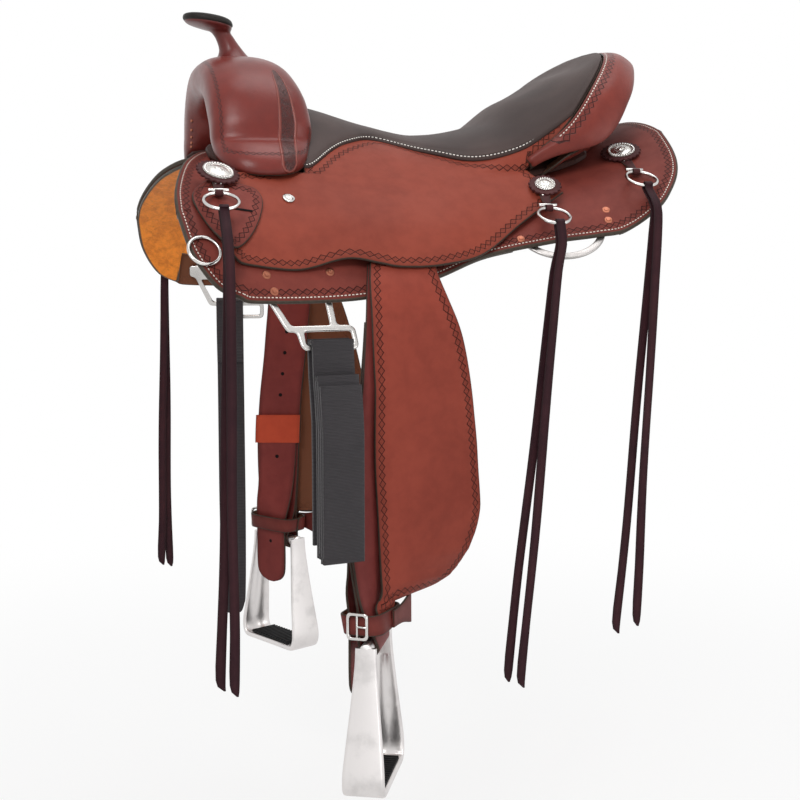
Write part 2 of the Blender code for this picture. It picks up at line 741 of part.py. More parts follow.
slot_outline = [(-0.0140, -0.003), (0.0140, -0.003), (0.0140, 0.003), (-0.0140, 0.003)]
slot_frame = barrel_frame(-0.254, HOLDER_TOP + 0.038, 0.008, -1.0)
slot = plate("holder_slot", rounded(slot_outline, 0.003), [], 0.030, slot_frame, CHESTNUT, cut_coll)
boolean(holder, slot, "DIFFERENCE")

# Rigging plates and dees.
PLATE_OUT = [(-0.240, 0.300), (-0.124, 0.300), (-0.124, 0.318), (-0.1525, 0.321), (-0.1525, 0.3625),
             (-0.138, 0.3625), (-0.131, 0.367), (-0.131, 0.388), (-0.135, 0.3925), (-0.194, 0.3925),
             (-0.199, 0.388), (-0.2015, 0.3695), (-0.210, 0.3695), (-0.2135, 0.366), (-0.232, 0.320),
             (-0.240, 0.318)]
PLATE_HOLES = [[(-0.2235, 0.3235), (-0.160, 0.3235), (-0.160, 0.3625), (-0.2065, 0.3625)],
               [(-0.1935, 0.3695), (-0.1365, 0.3695), (-0.1365, 0.3865), (-0.1935, 0.3865)]]
PLATE_T = 0.0025


def local(points, x0, u0):
    return [(x - x0, u - u0) for x, u in points]


for label, side in SIDES:
    m = level_frame(-0.188, 0.318, 0.0017, side)
    plate("rigging_plate_" + label, rounded(local(PLATE_OUT, -0.182, 0.318), 0.004, 1),
          [rounded(local(h, -0.182, 0.318), 0.002, 1) for h in PLATE_HOLES], PLATE_T, m, STEEL)
    outer = [(0.056 * cos(a), 0.050 * sin(a)) for a in [pi * k / 14 for k in range(15)]]
    outer = [(0.056, -0.006)] + outer + [(-0.056, -0.006)]
    inner = [(0.047 * cos(a), 0.041 * sin(a)) for a in [pi * k / 14 for k in range(15)]]
    inner = [(0.047, 0.001)] + inner[1:-1] + [(-0.047, 0.001)]
    plate("rear_dee_" + label, outer, [inner], 0.0026, barrel_frame(0.140, 0.238, 0.0016, side), STEEL)
    outer = [(0.0195 * cos(2 * pi * k / 20), 0.0195 * sin(2 * pi * k / 20)) for k in range(20)]
    inner = [(0.0155 * cos(2 * pi * k / 20), 0.0155 * sin(2 * pi * k / 20)) for k in range(20)]
    if side < 0:
        dee_frame = barrel_frame(-0.300, 0.288, SKIRT_TOP + 0.0006, side)
        plate("front_dee_" + label, outer, [inner], 0.0026, dee_frame, STEEL)

# Conchos, rings and strings. A bar and a drop are (x, u, off) places on the back's surface.
POSTS = {
    "front": dict(concho=(-0.2736, 0.1880, 0.0330, 0.0302), big=True, bar=(-0.2775, 0.22228, 0.03352),
                  tips=((-0.293, -0.585), (-0.280, -0.590)), drop=(-0.2775, 0.34315, 0.02091)),
    "mid": dict(concho=(0.1277, 0.1898, 0.0298, 0.0298), big=False, bar=(0.1186, 0.23022, 0.03402),
                tips=((0.056, -0.618), (0.072, -0.624)), drop=(0.1186, 0.30702, 0.01972)),
    "rear": dict(concho=(0.2537, 0.1379, OVER_SKIRT + 0.0018, OVER_SKIRT + 0.0018), big=True,
                 bar=(0.2506, 0.19233, 0.02020), tips=((0.207, -0.575), (0.229, -0.565)),
                 drop=(0.2506, 0.28612, 0.01388)),
}


def rosette_outline(r, lobes):
    pts = []
    for k in range(lobes * 2):
        a = pi * k / lobes
        rr = r if k % 2 == 0 else r * 0.90
        pts.append((rr * cos(a), rr * sin(a)))
    return pts


def concho_profile(r, thick):
    return [(0.0, 0.0), (r, 0.0), (r, 0.0016), (r * 0.90, 0.0030), (r * 0.80, 0.0021),
            (r * 0.45, 0.0036), (0.0, thick)]


for post, spec in POSTS.items():
    cx, cu, base_left, base_right = spec["concho"]
    for label, side in SIDES:
        base = base_left if side < 0 else base_right
        sides = "%s_%s" % (post, label)
        frame = barrel_frame(cx, cu, base, side)
        stem_hole = [(0.0036 * cos(pi * k / 4), 0.0036 * sin(pi * k / 4)) for k in range(8)]
        if spec["big"]:
            star = rosette_outline(ROSETTE_BIG, 16)
            plate("rosette_" + sides, star, [stem_hole], 0.0028, frame, DARK_BROWN)
            seat_z = 0.0028 + CUT_GAP
            radius = CONCHO_BIG
            reach = ROSETTE_BIG
        else:
            seat_z = 0.0021
            radius = CONCHO_SMALL
            reach = ROSETTE_SMALL
        lifted = frame @ Matrix.Translation((0, 0, seat_z))
        concho = turned("concho_" + sides, concho_profile(radius, 0.0050), 12, lifted, STEEL)
        if not spec["big"]:
            star = rosette_outline(ROSETTE_SMALL, 12)
            back = plate("rosette_" + sides, star, [], 0.0026, frame, DARK_BROWN, cut_coll)
            boolean(concho, back, "UNION")
        hinge = barrel(*spec["bar"], side)
        out = Vector((0, side, 0))
        dip = out * cos(RING_DIP) - Vector((0, 0, sin(RING_DIP)))
        up = Vector((0, side * sin(RING_DIP), cos(RING_DIP)))
        ex = Vector((1, 0, 0))
        slope = hinge.x - cx
        under = -0.0010 if spec["big"] else -0.0002
        if spec["big"]:
            foot = frame @ Vector((0, 0, under))
            stem = rod("clip_stem_" + sides, foot, lifted @ Vector((0, 0, 0.0010)), 0.0028, STEEL, 4, cut_coll)
            boolean(concho, stem, "UNION")
        head = frame @ Vector((0, -0.0050, under))
        bend = frame @ Vector((slope * 0.6, reach - 0.002, under))
        toward = (bend - hinge)
        toward = toward - ex * toward.dot(ex)
        toward.normalize()
        n_tube = 6
        tube_in, tube_out = [], []
        for x in (-0.0042, 0.0042):
            tube_in.append([hinge + ex * x + toward * CLIP_IN * cos(2 * pi * k / n_tube)
                            + ex.cross(toward) * CLIP_IN * sin(2 * pi * k / n_tube) for k in range(n_tube)])
            tube_out.append([hinge + ex * x + toward * CLIP_OUT * cos(2 * pi * k / n_tube)
                             + ex.cross(toward) * CLIP_OUT * sin(2 * pi * k / n_tube) for k in range(n_tube)])
        tube = sleeve("clip_eye_" + sides, tube_in, tube_out, STEEL)
        end = hinge + toward * (CLIP_OUT - 0.0004)
        flat = frame.to_3x3() @ Vector((0, 0, 0.0006))
        across = (bend - end).normalized()
        flat_end = ex.cross(across).normalized() * 0.0006
        if flat_end.dot(flat) < 0:
            flat_end = -flat_end
        fx = frame.to_3x3() @ Vector((1, 0, 0))
        tongue = ribbon("clip_tongue_" + sides,
                        [(head, fx * 0.0070, flat), (bend, fx * 0.0065, (flat + flat_end) / 2),
                         (end, ex * 0.0040, flat_end)], STEEL)
        bar_c = end + across * 0.0022
        rail = rod("clip_rail_" + sides, bar_c - ex * 0.0115, bar_c + ex * 0.0115, 0.0021, STEEL, 4)
        boolean(concho, tongue, "UNION")
        boolean(concho, tube, "UNION")
        boolean(concho, rail, "UNION")
        centre = hinge + dip * RING_R
        ring = torus("ring_" + sides, centre, ex, dip, RING_R, RING_WIRE, 20, 5, STEEL)
        pivot(ring, hinge)
        if (post, label) == ("rear", "right"):
            continue
        # saddle string folded over the ring's outer wire
        wire = hinge + dip * RING_R * 2
        half_w = ex * 0.0052
        gap_r = 0.0031
        thick = 0.0024
        mid_r = gap_r + thick / 2
        drop = barrel(*spec["drop"])
        hang = drop.y
        edge_z = drop.z
        (tip_a, tip_az), (tip_b, tip_bz) = spec["tips"]
        stations = []

        def tail(tip_x, tip_z, depth):
            pts = [(wire.z - 0.004, abs(wire.y) + depth, wire.x)]
            y_edge = hang + depth
            pts.append((blend(wire.z, edge_z, 0.45), blend(abs(wire.y) + depth, y_edge, 0.75), wire.x))
            start_x = blend(wire.x, tip_x, 0.12)
            pts.append((edge_z, y_edge, start_x))
            for f in (0.22, 0.42, 0.62, 0.82, 0.97):
                pts.append((blend(edge_z, tip_z, f), y_edge, blend(start_x, tip_x, f)))
            pts.append((tip_z, y_edge, tip_x + 0.0035))
            return pts

        outer_tail = tail(tip_b, tip_bz, mid_r)
        inner_tail = tail(tip_a, tip_az, -mid_r)
        for k, (z, y, x) in enumerate(outer_tail[::-1]):
            w = 0.0012 if k == 0 else 0.0056
            stations.append((Vector((x, y * side, z)), ex * w, Vector((0, -side * thick / 2, 0))))
        for k in range(1, 6):
            a = pi * k / 6
            c = wire + Vector((0, side * mid_r * cos(a), mid_r * sin(a)))
            stations.append((c, half_w, Vector((0, -side * cos(a), -sin(a))) * thick / 2))
        for k, (z, y, x) in enumerate(inner_tail):
            w = 0.0012 if k == len(inner_tail) - 1 else 0.0056
            stations.append((Vector((x, y * side, z)), ex * w, Vector((0, side * thick / 2, 0))))
        string = ribbon("string_" + sides, stations, DARK_BROWN)
        pivot(string, wire)

# Fender and stirrup leathers.
PATH = [(-0.0800, 0.2542, -0.1168), (-0.0880, 0.2775, -0.1510), (-0.0930, 0.2880, -0.1850),
        (-0.1000, 0.2850, -0.2550), (-0.1120, 0.2785, -0.3550), (-0.1150, 0.2765, -0.4550),
        (-0.1130, 0.2850, -0.5470)]
TWIST = table([(-0.547, 64.0), (-0.485, 42.0), (-0.405, 22.0), (-0.255, 21.0), (-0.185, 8.0),
               (-0.115, 0.0)], False)
FENDER_TWIST = table([(-0.560, 52.0), (-0.515, 42.0), (-0.485, 28.0), (-0.455, 20.0), (-0.405, 15.0),
                      (-0.305, 13.0), (-0.255, 12.0), (-0.185, 7.0), (-0.115, 0.0)], False)
path_line = spline(PATH, 61)


def path_frame(z, side, twist, lead=0.0):
    """Centre, width direction (front edge turned outward) and outer normal at height z."""
    i = 0
    while i < len(path_line) - 2 and path_line[i + 1].z > z:
        i += 1
    a, b = path_line[i], path_line[i + 1]
    f = (z - a.z) / (b.z - a.z)
    c = a + (b - a) * f
    p0 = path_line[max(i - 2, 0)]
    p1 = path_line[min(i + 3, len(path_line) - 1)]
    t = (p1 - p0).normalized()
    c = Vector((c.x, c.y * side, c.z))
    t = Vector((0.0, t.y * side * smooth((z + 0.547) / 0.09), t.z)).normalized()
    ex = Vector((1, 0, 0))
    n0 = ex.cross(t)
    if n0.y * side < 0:
        n0 = -n0
    n0.normalize()
    a = radians(twist)
    e = ex * cos(a) - n0 * sin(a)
    n = n0 * cos(a) + ex * sin(a)
    return c, e, n, t


def strap_station(z, side, w0, w1, d0, d1):
    c, e, n, t = path_frame(z, side, TWIST(z))
    mid = c + e * (w0 + w1) / 2 + n * (d0 + d1) / 2
    return (mid, e * (w1 - w0) / 2, n * (d1 - d0) / 2)


BAR_GAP = 0.0010
LOOP_R = STIRRUP_BAR + BAR_GAP + STRAP_T / 2
LEG_GAP = 0.0006
HOBBLE_W = 0.0393            # half width inside the hobble strap's loop
HOBBLE_D = 0.0222            # half depth inside it
HOBBLE_T = 0.0030


def leather_spread(z):
    """Distance of each leg's middle from the path; the legs part round the stirrup's bar."""
    return blend(LEG_GAP / 2 + STRAP_T / 2, LOOP_R, smooth((-0.500 - z) / 0.047))


FENDER_REAR = table([(-0.5220, 0.012), (-0.5170, 0.022), (-0.5080, 0.028), (-0.5035, 0.036), (-0.5000, 0.072),
                     (-0.4950, 0.106), (-0.4800, 0.128), (-0.4570, 0.139), (-0.4300, 0.147), (-0.3960, 0.146),
                     (-0.3370, 0.134), (-0.2890, 0.119), (-0.2390, 0.102), (-0.1910, 0.084), (-0.1580, 0.066),
                     (-0.1320, 0.052), (-0.1120, 0.046)])
FENDER_FRONT = table([(-0.5220, -0.004), (-0.5160, -0.010), (-0.5080, -0.008), (-0.5020, 0.002),
                      (-0.4900, 0.008), (-0.4540, 0.008), (-0.3800, 0.002), (-0.2790, -0.014),
                      (-0.2090, -0.024), (-0.1430, -0.030), (-0.1120, -0.030)])
FENDER_Z = [-0.1130, -0.1320, -0.1520, -0.1780, -0.2150, -0.2600, -0.3100, -0.3600, -0.4050, -0.4450,
            -0.4750, -0.4930, -0.5000, -0.5040, -0.5120, -0.5220]
UPPER_HOLES = (-0.230, -0.262, -0.294, -0.326)
LOWER_HOLES = (-0.419, -0.4505, -0.5500)
top_point = barrel(-0.0800, 0.2850, 0.0145)
HINGE = (-0.0800, abs(top_point.y), top_point.z)

for label, side in SIDES:
    hinge = Vector((HINGE[0], HINGE[1] * side, HINGE[2]))
    grid = []
    for z in FENDER_Z:
        c, e, n, t = path_frame(z, side, FENDER_TWIST(z))
        w0, w1 = FENDER_FRONT(z), FENDER_REAR(z)
        slack = sin(radians(max(TWIST(z) - FENDER_TWIST(z), 0.0))) * min(0.032, max(0.0, -w0))
        tail_up = 0.0014 * smooth((-0.470 - z) / 0.025)
        row = []
        for k in range(7):
            w = blend(w0, w1, k / 6)
            row.append(c + e * w + n * (leather_spread(z) + STRAP_T / 2 + 0.0013 + slack * 1.15 + tail_up))
        grid.append(row if side > 0 else row[::-1])
    fender = sheet("fender_" + label, grid, FENDER_T, CHESTNUT)
    pivot(fender, hinge)

    # one strap folded round the stirrup's bar
    half_t = STRAP_T / 2
    bar_c, bar_e, bar_n, bar_t = path_frame(-0.547, side, 64.0)
    stations = []
    legs = [-0.1180, -0.1350, -0.1550, -0.1800, -0.2200, -0.2700, -0.3300, -0.3900, -0.4300, -0.4650, -0.4950,
            -0.5150, -0.5300]
    for z in legs:
        c, e, n, t = path_frame(z, side, TWIST(z))
        spread = leather_spread(z)
        stations.append((c + n * spread, e * STRAP_W, n * half_t))
    for k in range(0, 9):
        a = pi * k / 8
        d = bar_n * cos(a) + bar_t * sin(a)
        stations.append((bar_c + d * LOOP_R, bar_e * STRAP_W, d * half_t))
    for z in reversed(legs[3:]):
        c, e, n, t = path_frame(z, side, TWIST(z))
        spread = leather_spread(z)
        stations.append((c - n * spread, e * STRAP_W, -n * half_t))
    leather = ribbon("stirrup_leather_" + label, stations, CHESTNUT)
    d_in = -(LEG_GAP / 2 + STRAP_T)
    keeper = ribbon("leather_keeper_" + label,
                    [strap_station(z, side, -0.0345, 0.0345, d_in - 0.0062, d_in + 0.0020)
                     for z in (-0.3560, -0.3770, -0.3980)], CHESTNUT)
    tail_z = [-0.3700, -0.4050, -0.4350, -0.4650, -0.4900, -0.5200, -0.5500, -0.5800, -0.5980,
              -0.6080, -0.6130]
    tail_w = [0.0290] * 8 + [0.0270, 0.0190, 0.0060]
    tail_stations = []
    for z, w in zip(tail_z, tail_w):
        zz = max(z, -0.5200)
        c, e, n, t = path_frame(zz, side, min(TWIST(zz), 62.0))
        drop = Vector((0, 0, z - zz))
        depth = d_in - 0.0032 - 0.0105 * smooth((-0.440 - z) / 0.070)
        tail_stations.append((c + n * depth + drop, e * w, n * 0.0016))
    tail_strap = ribbon("leather_tail_" + label, tail_stations, CHESTNUT)
    for k, z in enumerate(UPPER_HOLES):
        c, e, n, t = path_frame(z, side, TWIST(z))
        drill = rod("strap_hole_%s_%d" % (label, k), c - n * 0.020, c, 0.0028, STEEL, 6, cut_coll)
        boolean(leather, drill, "DIFFERENCE")
    for k, z in enumerate(LOWER_HOLES):
        zz = max(z, -0.5200)
        c, e, n, t = path_frame(zz, side, min(TWIST(zz), 62.0))
        c = c + Vector((0, 0, z - zz))
        drill = rod("tail_hole_%s_%d" % (label, k), c - n * 0.040, c + n * 0.020, 0.0028, STEEL, 6, cut_coll)
        boolean(tail_strap, drill, "DIFFERENCE")
    boolean(leather, keeper, "UNION")
    boolean(leather, tail_strap, "UNION")
    pivot(leather, hinge)

    # hobble strap round both layers, with its flared end
    rings_in, rings_out = [], []
    for z in (-0.5100, -0.5320):
        c, e, n, t = path_frame(z, side, TWIST(z))
        ring_a, ring_b = [], []
        for k in range(16):
            a = 2 * pi * (k + 0.5) / 16
            ca, sa = cos(a), sin(a)
            cw = abs(ca) ** 0.35 * (1 if ca > 0 else -1)
            cd = abs(sa) ** 0.55 * (1 if sa > 0 else -1)
            ring_a.append(c - n * 0.0020 + e * HOBBLE_W * cw + n * HOBBLE_D * cd)
            ring_b.append(c - n * 0.0020 + e * (HOBBLE_W + HOBBLE_T) * cw + n * (HOBBLE_D + HOBBLE_T) * cd)
        rings_in.append(ring_a)
        rings_out.append(ring_b)
    hobble = sleeve("hobble_strap_" + label, rings_in, rings_out, CHESTNUT)
    z = -0.5210
    c, e, n, t = path_frame(z, side, TWIST(z))
    end_stations = []
    for w, h in ((0.004, 0.0100), (0.030, 0.0112), (0.048, 0.0150), (0.060, 0.0180)):
        end_stations.append((c + e * w + n * 0.0251, t * h, n * 0.0014))
    end_piece = ribbon("hobble_end_" + label, end_stations, CHESTNUT)
    boolean(hobble, end_piece, "UNION")
    pivot(hobble, hinge)
    # buckle on the front of the hobble strap
    face = c - e * (HOBBLE_W + HOBBLE_T + 0.0012) - n * 0.002
    m = Matrix((n, t, -e)).transposed().to_4x4()
    m.translation = face
    if m.to_3x3().determinant() < 0:
        m = Matrix((-n, t, -e)).transposed().to_4x4()
        m.translation = face
    outer = rounded([(-0.0125, -0.0150), (0.0125, -0.0150), (0.0125, 0.0150), (-0.0125, 0.0150)], 0.005, 2)
    holes = []
    for h0, h1 in ((-0.0095, -0.0016), (0.0016, 0.0095)):
        holes.append(rounded([(h0, -0.0120), (h1, -0.0120), (h1, 0.0120), (h0, 0.0120)], 0.002, 2))
    buckle = plate("hobble_buckle_" + label, outer, holes, 0.0026, m, STEEL)
    pivot(buckle, hinge)

    # stirrup
    a_dir = bar_e
    down = Vector((0, 0, -1))
    across = a_dir - down * a_dir.dot(down)
    across.normalize()
    facing = across.cross(down).normalized()
    half = [(0.0460, -0.0040, 0.0120), (0.0475, 0.0200, 0.0130), (0.0520, 0.0600, 0.0165),
            (0.0575, 0.1000, 0.0205), (0.0625, 0.1320, 0.0235), (0.0635, 0.1470, 0.0242),
            (0.0605, 0.1575, 0.0245), (0.0535, 0.1622, 0.0245), (0.0300, 0.1624, 0.0245),
            (0.0, 0.1624, 0.0245)]
    outline = [(-w, h, b) for w, h, b in half] + [(w, h, b) for w, h, b in reversed(half[:-1])]
    rings = []
    for k, (w, h, b) in enumerate(outline):
        w0, h0, b0 = outline[max(k - 1, 0)]
        w1, h1, b1 = outline[min(k + 1, len(outline) - 1)]
        tang = Vector((w1 - w0, h1 - h0)).normalized()
        nrm = Vector((tang.y, -tang.x))
        th = 0.0034 + 0.0006 * smooth((h - 0.12) / 0.04)
        c = bar_c + across * w + down * h
        nv = (across * nrm.x + down * nrm.y) * th
        ring = []
        for fb, ft in ((-1, -0.55), (-0.82, -1), (0.82, -1), (1, -0.55), (1, 0.55), (0.82, 1),
                       (-0.82, 1), (-1, 0.55)):
            ring.append(c + facing * b * fb + nv * ft)
        rings.append(ring)
    stirrup = loft("stirrup_" + label, rings, SATIN)
    bar_half = across * 0.0475
    top_bar = rod("stirrup_bar_" + label, bar_c - bar_half, bar_c + bar_half, STIRRUP_BAR, SATIN, 12)
    boolean(stirrup, top_bar, "UNION")
    pivot(stirrup, bar_c)

    # ribbed tread pad
    floor = bar_c + down * (0.1622 - 0.0040 - CUT_GAP - 0.0002)
    comb = [(-0.0450, 0.0)]
    ribs = 9
    pitch = 0.090 / ribs
    for k in range(ribs):
        x0 = -0.0450 + pitch * k
        comb += [(x0 + 0.0008, 0.0040), (x0 + pitch * 0.62, 0.0040), (x0 + pitch * 0.72, 0.0022)]
        if k < ribs - 1:
            comb.append((x0 + pitch * 0.98, 0.0022))
    comb.append((0.0450, 0.0))
    m = Matrix((across, -down, facing)).transposed().to_4x4()
    m.translation = floor - facing * 0.0215
    if m.to_3x3().determinant() < 0:
        m = Matrix((-across, -down, facing)).transposed().to_4x4()
        m.translation = floor - facing * 0.0215
    tread = plate("tread_pad_" + label, comb, [], 0.0430, m, RUBBER)
    pivot(tread, bar_c)

# Latigo and off billet.
def arc(cd, cz, r, a0, a1, n):
    return [(cd + r * cos(blend(a0, a1, k / n)), cz + r * sin(blend(a0, a1, k / n))) for k in range(n + 1)]


def flat_strap(name, bar, ex, line, half_w, thick, look):
    """Strap along a line of (outward distance from the bar, height), wide along the bar."""
    outward = Vector((ex.y, -ex.x, 0))
    if outward.y * bar.y < 0:
        outward = -outward
    stations = []
    for k, (d, z) in enumerate(line):
        d0, z0 = line[max(k - 1, 0)]
        d1, z1 = line[min(k + 1, len(line) - 1)]
        tang = (outward * (d1 - d0) + Vector((0, 0, z1 - z0))).normalized()
        centre = Vector((bar.x, bar.y, z)) + outward * d
        stations.append((centre, ex * half_w, ex.cross(tang) * thick / 2))
    return ribbon(name, stations, look), outward


LATIGO_HALF = 0.0245
BILLET_HALF = 0.020
FOLD_LOW = -0.430
FOLD_HIGH = -0.242
m_left = level_frame(-0.188, 0.318, 0.0017, -1.0)
low_bar = m_left @ Vector((0.017, 0.3895 - 0.318, PLATE_T / 2))
low_ex = m_left.to_3x3() @ Vector((1, 0, 0))
line = [(-0.0066, FOLD_LOW + 0.004), (-0.0066, -0.330)]
line += arc(0.0, low_bar.z, 0.0066, pi, 0.0, 6)
line += [(0.0066, -0.330)]
line += arc(0.0094, FOLD_LOW, 0.0028, pi, 2 * pi, 4)
line += [(0.0122, -0.330)]
line += arc(0.0150, FOLD_HIGH, 0.0028, pi, 0.0, 4)
line += [(0.0178, -0.330)]
line += arc(0.0206, FOLD_LOW - 0.004, 0.0028, pi, 2 * pi, 4)
line += [(0.0234, -0.330), (0.0234, FOLD_HIGH - 0.004)]
line = [(d + 0.011 * smooth((-0.210 - z) / 0.09), z) for d, z in line]
latigo, latigo_out = flat_strap("latigo", low_bar, low_ex, line, LATIGO_HALF, 0.0048, NYLON)
pivot(latigo, low_bar)

m_right = level_frame(-0.188, 0.318, 0.0017, 1.0)
billet_bar = m_right @ Vector((0.0, 0.366 - 0.318, PLATE_T / 2))
billet_ex = m_right.to_3x3() @ Vector((1, 0, 0))
bz = billet_bar.z
line = [(-0.0040, z) for z in (-0.663, -0.60, -0.53, -0.46)]
line += [(0.0060, -0.395), (0.0180, -0.330), (0.0210, -0.275), (0.0210, bz - 0.040)]
line += [(0.0190, bz - 0.024), (0.0130, bz - 0.010)]
line += arc(0.0, bz, 0.0066, radians(25), pi, 6)
line += [(-0.0066, bz - 0.030), (-0.0010, bz - 0.060), (0.0100, bz - 0.078), (0.0155, -0.275)]
billet, billet_out = flat_strap("off_billet", billet_bar, billet_ex, line, BILLET_HALF, 0.0044, NYLON)
for k in range(5):
    level = Vector((billet_bar.x, billet_bar.y, -0.320 - 0.068 * k))
    drill = rod("billet_hole_%d" % k, level + billet_out * 0.035, level - billet_out * 0.015, 0.0042,
                STEEL, 6, cut_coll)
    boolean(billet, drill, "DIFFERENCE")
pivot(billet, billet_bar)
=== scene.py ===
"""Western trail saddle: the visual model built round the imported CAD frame.
Metres, +Z up, -X towards the horse's head, -Y the near side."""
from math import atan2, cos, hypot, pi, radians, sin, sqrt

import bpy
import bmesh
import numpy as np
from mathutils import Matrix, Vector


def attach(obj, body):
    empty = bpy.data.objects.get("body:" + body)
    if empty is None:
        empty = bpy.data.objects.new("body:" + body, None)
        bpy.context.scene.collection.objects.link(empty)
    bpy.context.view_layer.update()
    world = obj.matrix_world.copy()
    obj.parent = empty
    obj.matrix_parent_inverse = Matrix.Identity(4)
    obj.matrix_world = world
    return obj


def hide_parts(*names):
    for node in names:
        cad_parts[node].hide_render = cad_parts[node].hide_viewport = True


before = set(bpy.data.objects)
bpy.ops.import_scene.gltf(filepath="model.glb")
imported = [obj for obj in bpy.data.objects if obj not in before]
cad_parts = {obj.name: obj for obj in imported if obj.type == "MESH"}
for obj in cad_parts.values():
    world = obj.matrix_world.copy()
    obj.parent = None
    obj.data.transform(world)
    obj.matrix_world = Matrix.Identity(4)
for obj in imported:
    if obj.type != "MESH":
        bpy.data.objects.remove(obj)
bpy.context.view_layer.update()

# The horse's back, a barrel with a ridge that rises both ways, and the layers that lie on it.
BACK_R = 0.300
BACK_AXIS = (0.0, -BACK_R)
BACK_TURN = radians(74)
RISE_REAR = 0.055
RISE_FRONT = 0.020
SHOULDER_FLARE = 0.022
LINING_T = 0.0040
SKIRT_OFF = LINING_T + 0.0014
SKIRT_T = 0.0065
SKIRT_TOP = SKIRT_OFF + SKIRT_T
OVER_SKIRT = SKIRT_TOP + 0.0009
SEAT_T = 0.0040
COVER_T = 0.0040
COVER_GAP = 0.0009
PAD_GAP = 0.0012
SIDES = (("left", -1.0), ("right", 1.0))


# Surface of the back and curve helpers.
def blend(a, b, t):
    return a + (b - a) * t


def smooth(t):
    t = min(max(t, 0.0), 1.0)
    return t * t * (3.0 - 2.0 * t)


def ridge(x):
    rise = RISE_REAR if x > 0 else RISE_FRONT
    return rise * (x / 0.3) ** 2


def barrel(x, u, off=0.0, side=1.0):
    s = side if u >= 0 else -side
    a = abs(u)
    turn = min(a / BACK_R, BACK_TURN)
    rest = a - BACK_R * turn
    flare = SHOULDER_FLARE * smooth((-x - 0.14) / 0.2) * smooth((a - 0.1) / 0.15)
    y = (BACK_R + off) * sin(turn) + rest * cos(turn) + flare
    z = ridge(x) - BACK_R + (BACK_R + off) * cos(turn) - rest * sin(turn)
    return Vector((x, s * y, z))


def unbarrel(x, y, z):
    up = z - ridge(x) + BACK_R
    return BACK_R * atan2(abs(y), up), hypot(abs(y), up) - BACK_R


def barrel_frame(x, u, off, side):
    """Matrix with local X along x, local Y downhill, local Z outward."""
    down = (barrel(x, u + 0.002, off, side) - barrel(x, u - 0.002, off, side)).normalized()
    ex = (barrel(x + 0.002, u, off, side) - barrel(x - 0.002, u, off, side)).normalized()
    out = ex.cross(down).normalized()
    if out.z < 0 and abs(out.z) > 0.05 or out.y * side < -0.05:
        out = -out
    ex = down.cross(out).normalized()
    if ex.x < 0:
        ex = -ex
    m = Matrix((ex, down, out)).transposed().to_4x4()
    m.translation = barrel(x, u, off, side)
    return m


def level_frame(x, u, off, side):
    """As barrel_frame, with its local X level as well."""
    out = barrel_frame(x, u, off, side).to_3x3() @ Vector((0, 0, 1))
    ex = Vector((out.y, -out.x, 0)).normalized()
    if ex.x < 0:
        ex = -ex
    down = out.cross(ex)
    if down.z > 0:
        down = -down
    m = Matrix((ex, down, out)).transposed().to_4x4()
    m.translation = barrel(x, u, off, side)
    return m


def curve_point(pts, t):
    """Catmull-Rom point at t (0..1 over the whole list)."""
    n = len(pts) - 1
    t = min(max(t, 0.0), 1.0) * n
    i = min(int(t), n - 1)
    f = t - i
    p1, p2 = pts[i], pts[i + 1]
    p0 = pts[i - 1] if i > 0 else p1 * 2 - p2
    p3 = pts[i + 2] if i + 2 <= n else p2 * 2 - p1
    return 0.5 * ((2 * p1) + (p2 - p0) * f + (2 * p0 - 5 * p1 + 4 * p2 - p3) * f * f
                  + (3 * p1 - p0 - 3 * p2 + p3) * f ** 3)


def spline(points, count):
    pts = [Vector(p) for p in points]
    return [curve_point(pts, k / (count - 1)) for k in range(count)]


def table(points, smoothed=True, fine=12):
    """Function of the first coordinate through the listed points."""
    pts = spline(points, fine * len(points)) if smoothed else [Vector(p) for p in points]
    xs = np.array([p[0] for p in pts])
    ys = np.array([p[1] for p in pts])
    keep = np.concatenate(([True], np.maximum.accumulate(xs)[1:] > np.maximum.accumulate(xs)[:-1]))
    xs, ys = xs[keep], ys[keep]

    def value(t):
        return float(np.interp(t, xs, ys))
    return value


def cluster(length, near=(0.0, 0.0005, 0.0012, 0.0022, 0.0035, 0.0052, 0.0075, 0.0105, 0.0140), step=0.008,
            count=None):
    """Fractions of a length that crowd towards both ends; count fixes the number of inner steps."""
    if count is None:
        count = max(int((length - 2 * near[-1]) / step), 1)
    k = min(1.0, length * 0.45 / near[-1])
    a = [v * k / length for v in near]
    b = [1.0 - v for v in reversed(a)]
    mid = [blend(a[-1], b[0], i / count) for i in range(1, count)]
    return a + mid + b


# Meshes.
def add_mesh(name, verts, faces, mat, attrs=None, sharp=None):
    me = bpy.data.meshes.new(name)
    me.from_pydata([tuple(v) for v in verts], [], faces)
    me.validate()
    for key, val in (attrs or {}).items():
        a = me.attributes.new(key, "FLOAT", "POINT")
        a.data.foreach_set("value", np.asarray(val, np.float32))
    me.shade_smooth()
    if sharp:
        me.set_sharp_from_angle(angle=radians(sharp))
    ob = bpy.data.objects.new(name, me)
    bpy.context.scene.collection.objects.link(ob)
    me.materials.append(mat)
    return ob


def place(ob, body, node=None):
    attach(ob, body)
    if node:
        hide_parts(*([node] if isinstance(node, str) else node))
    return ob


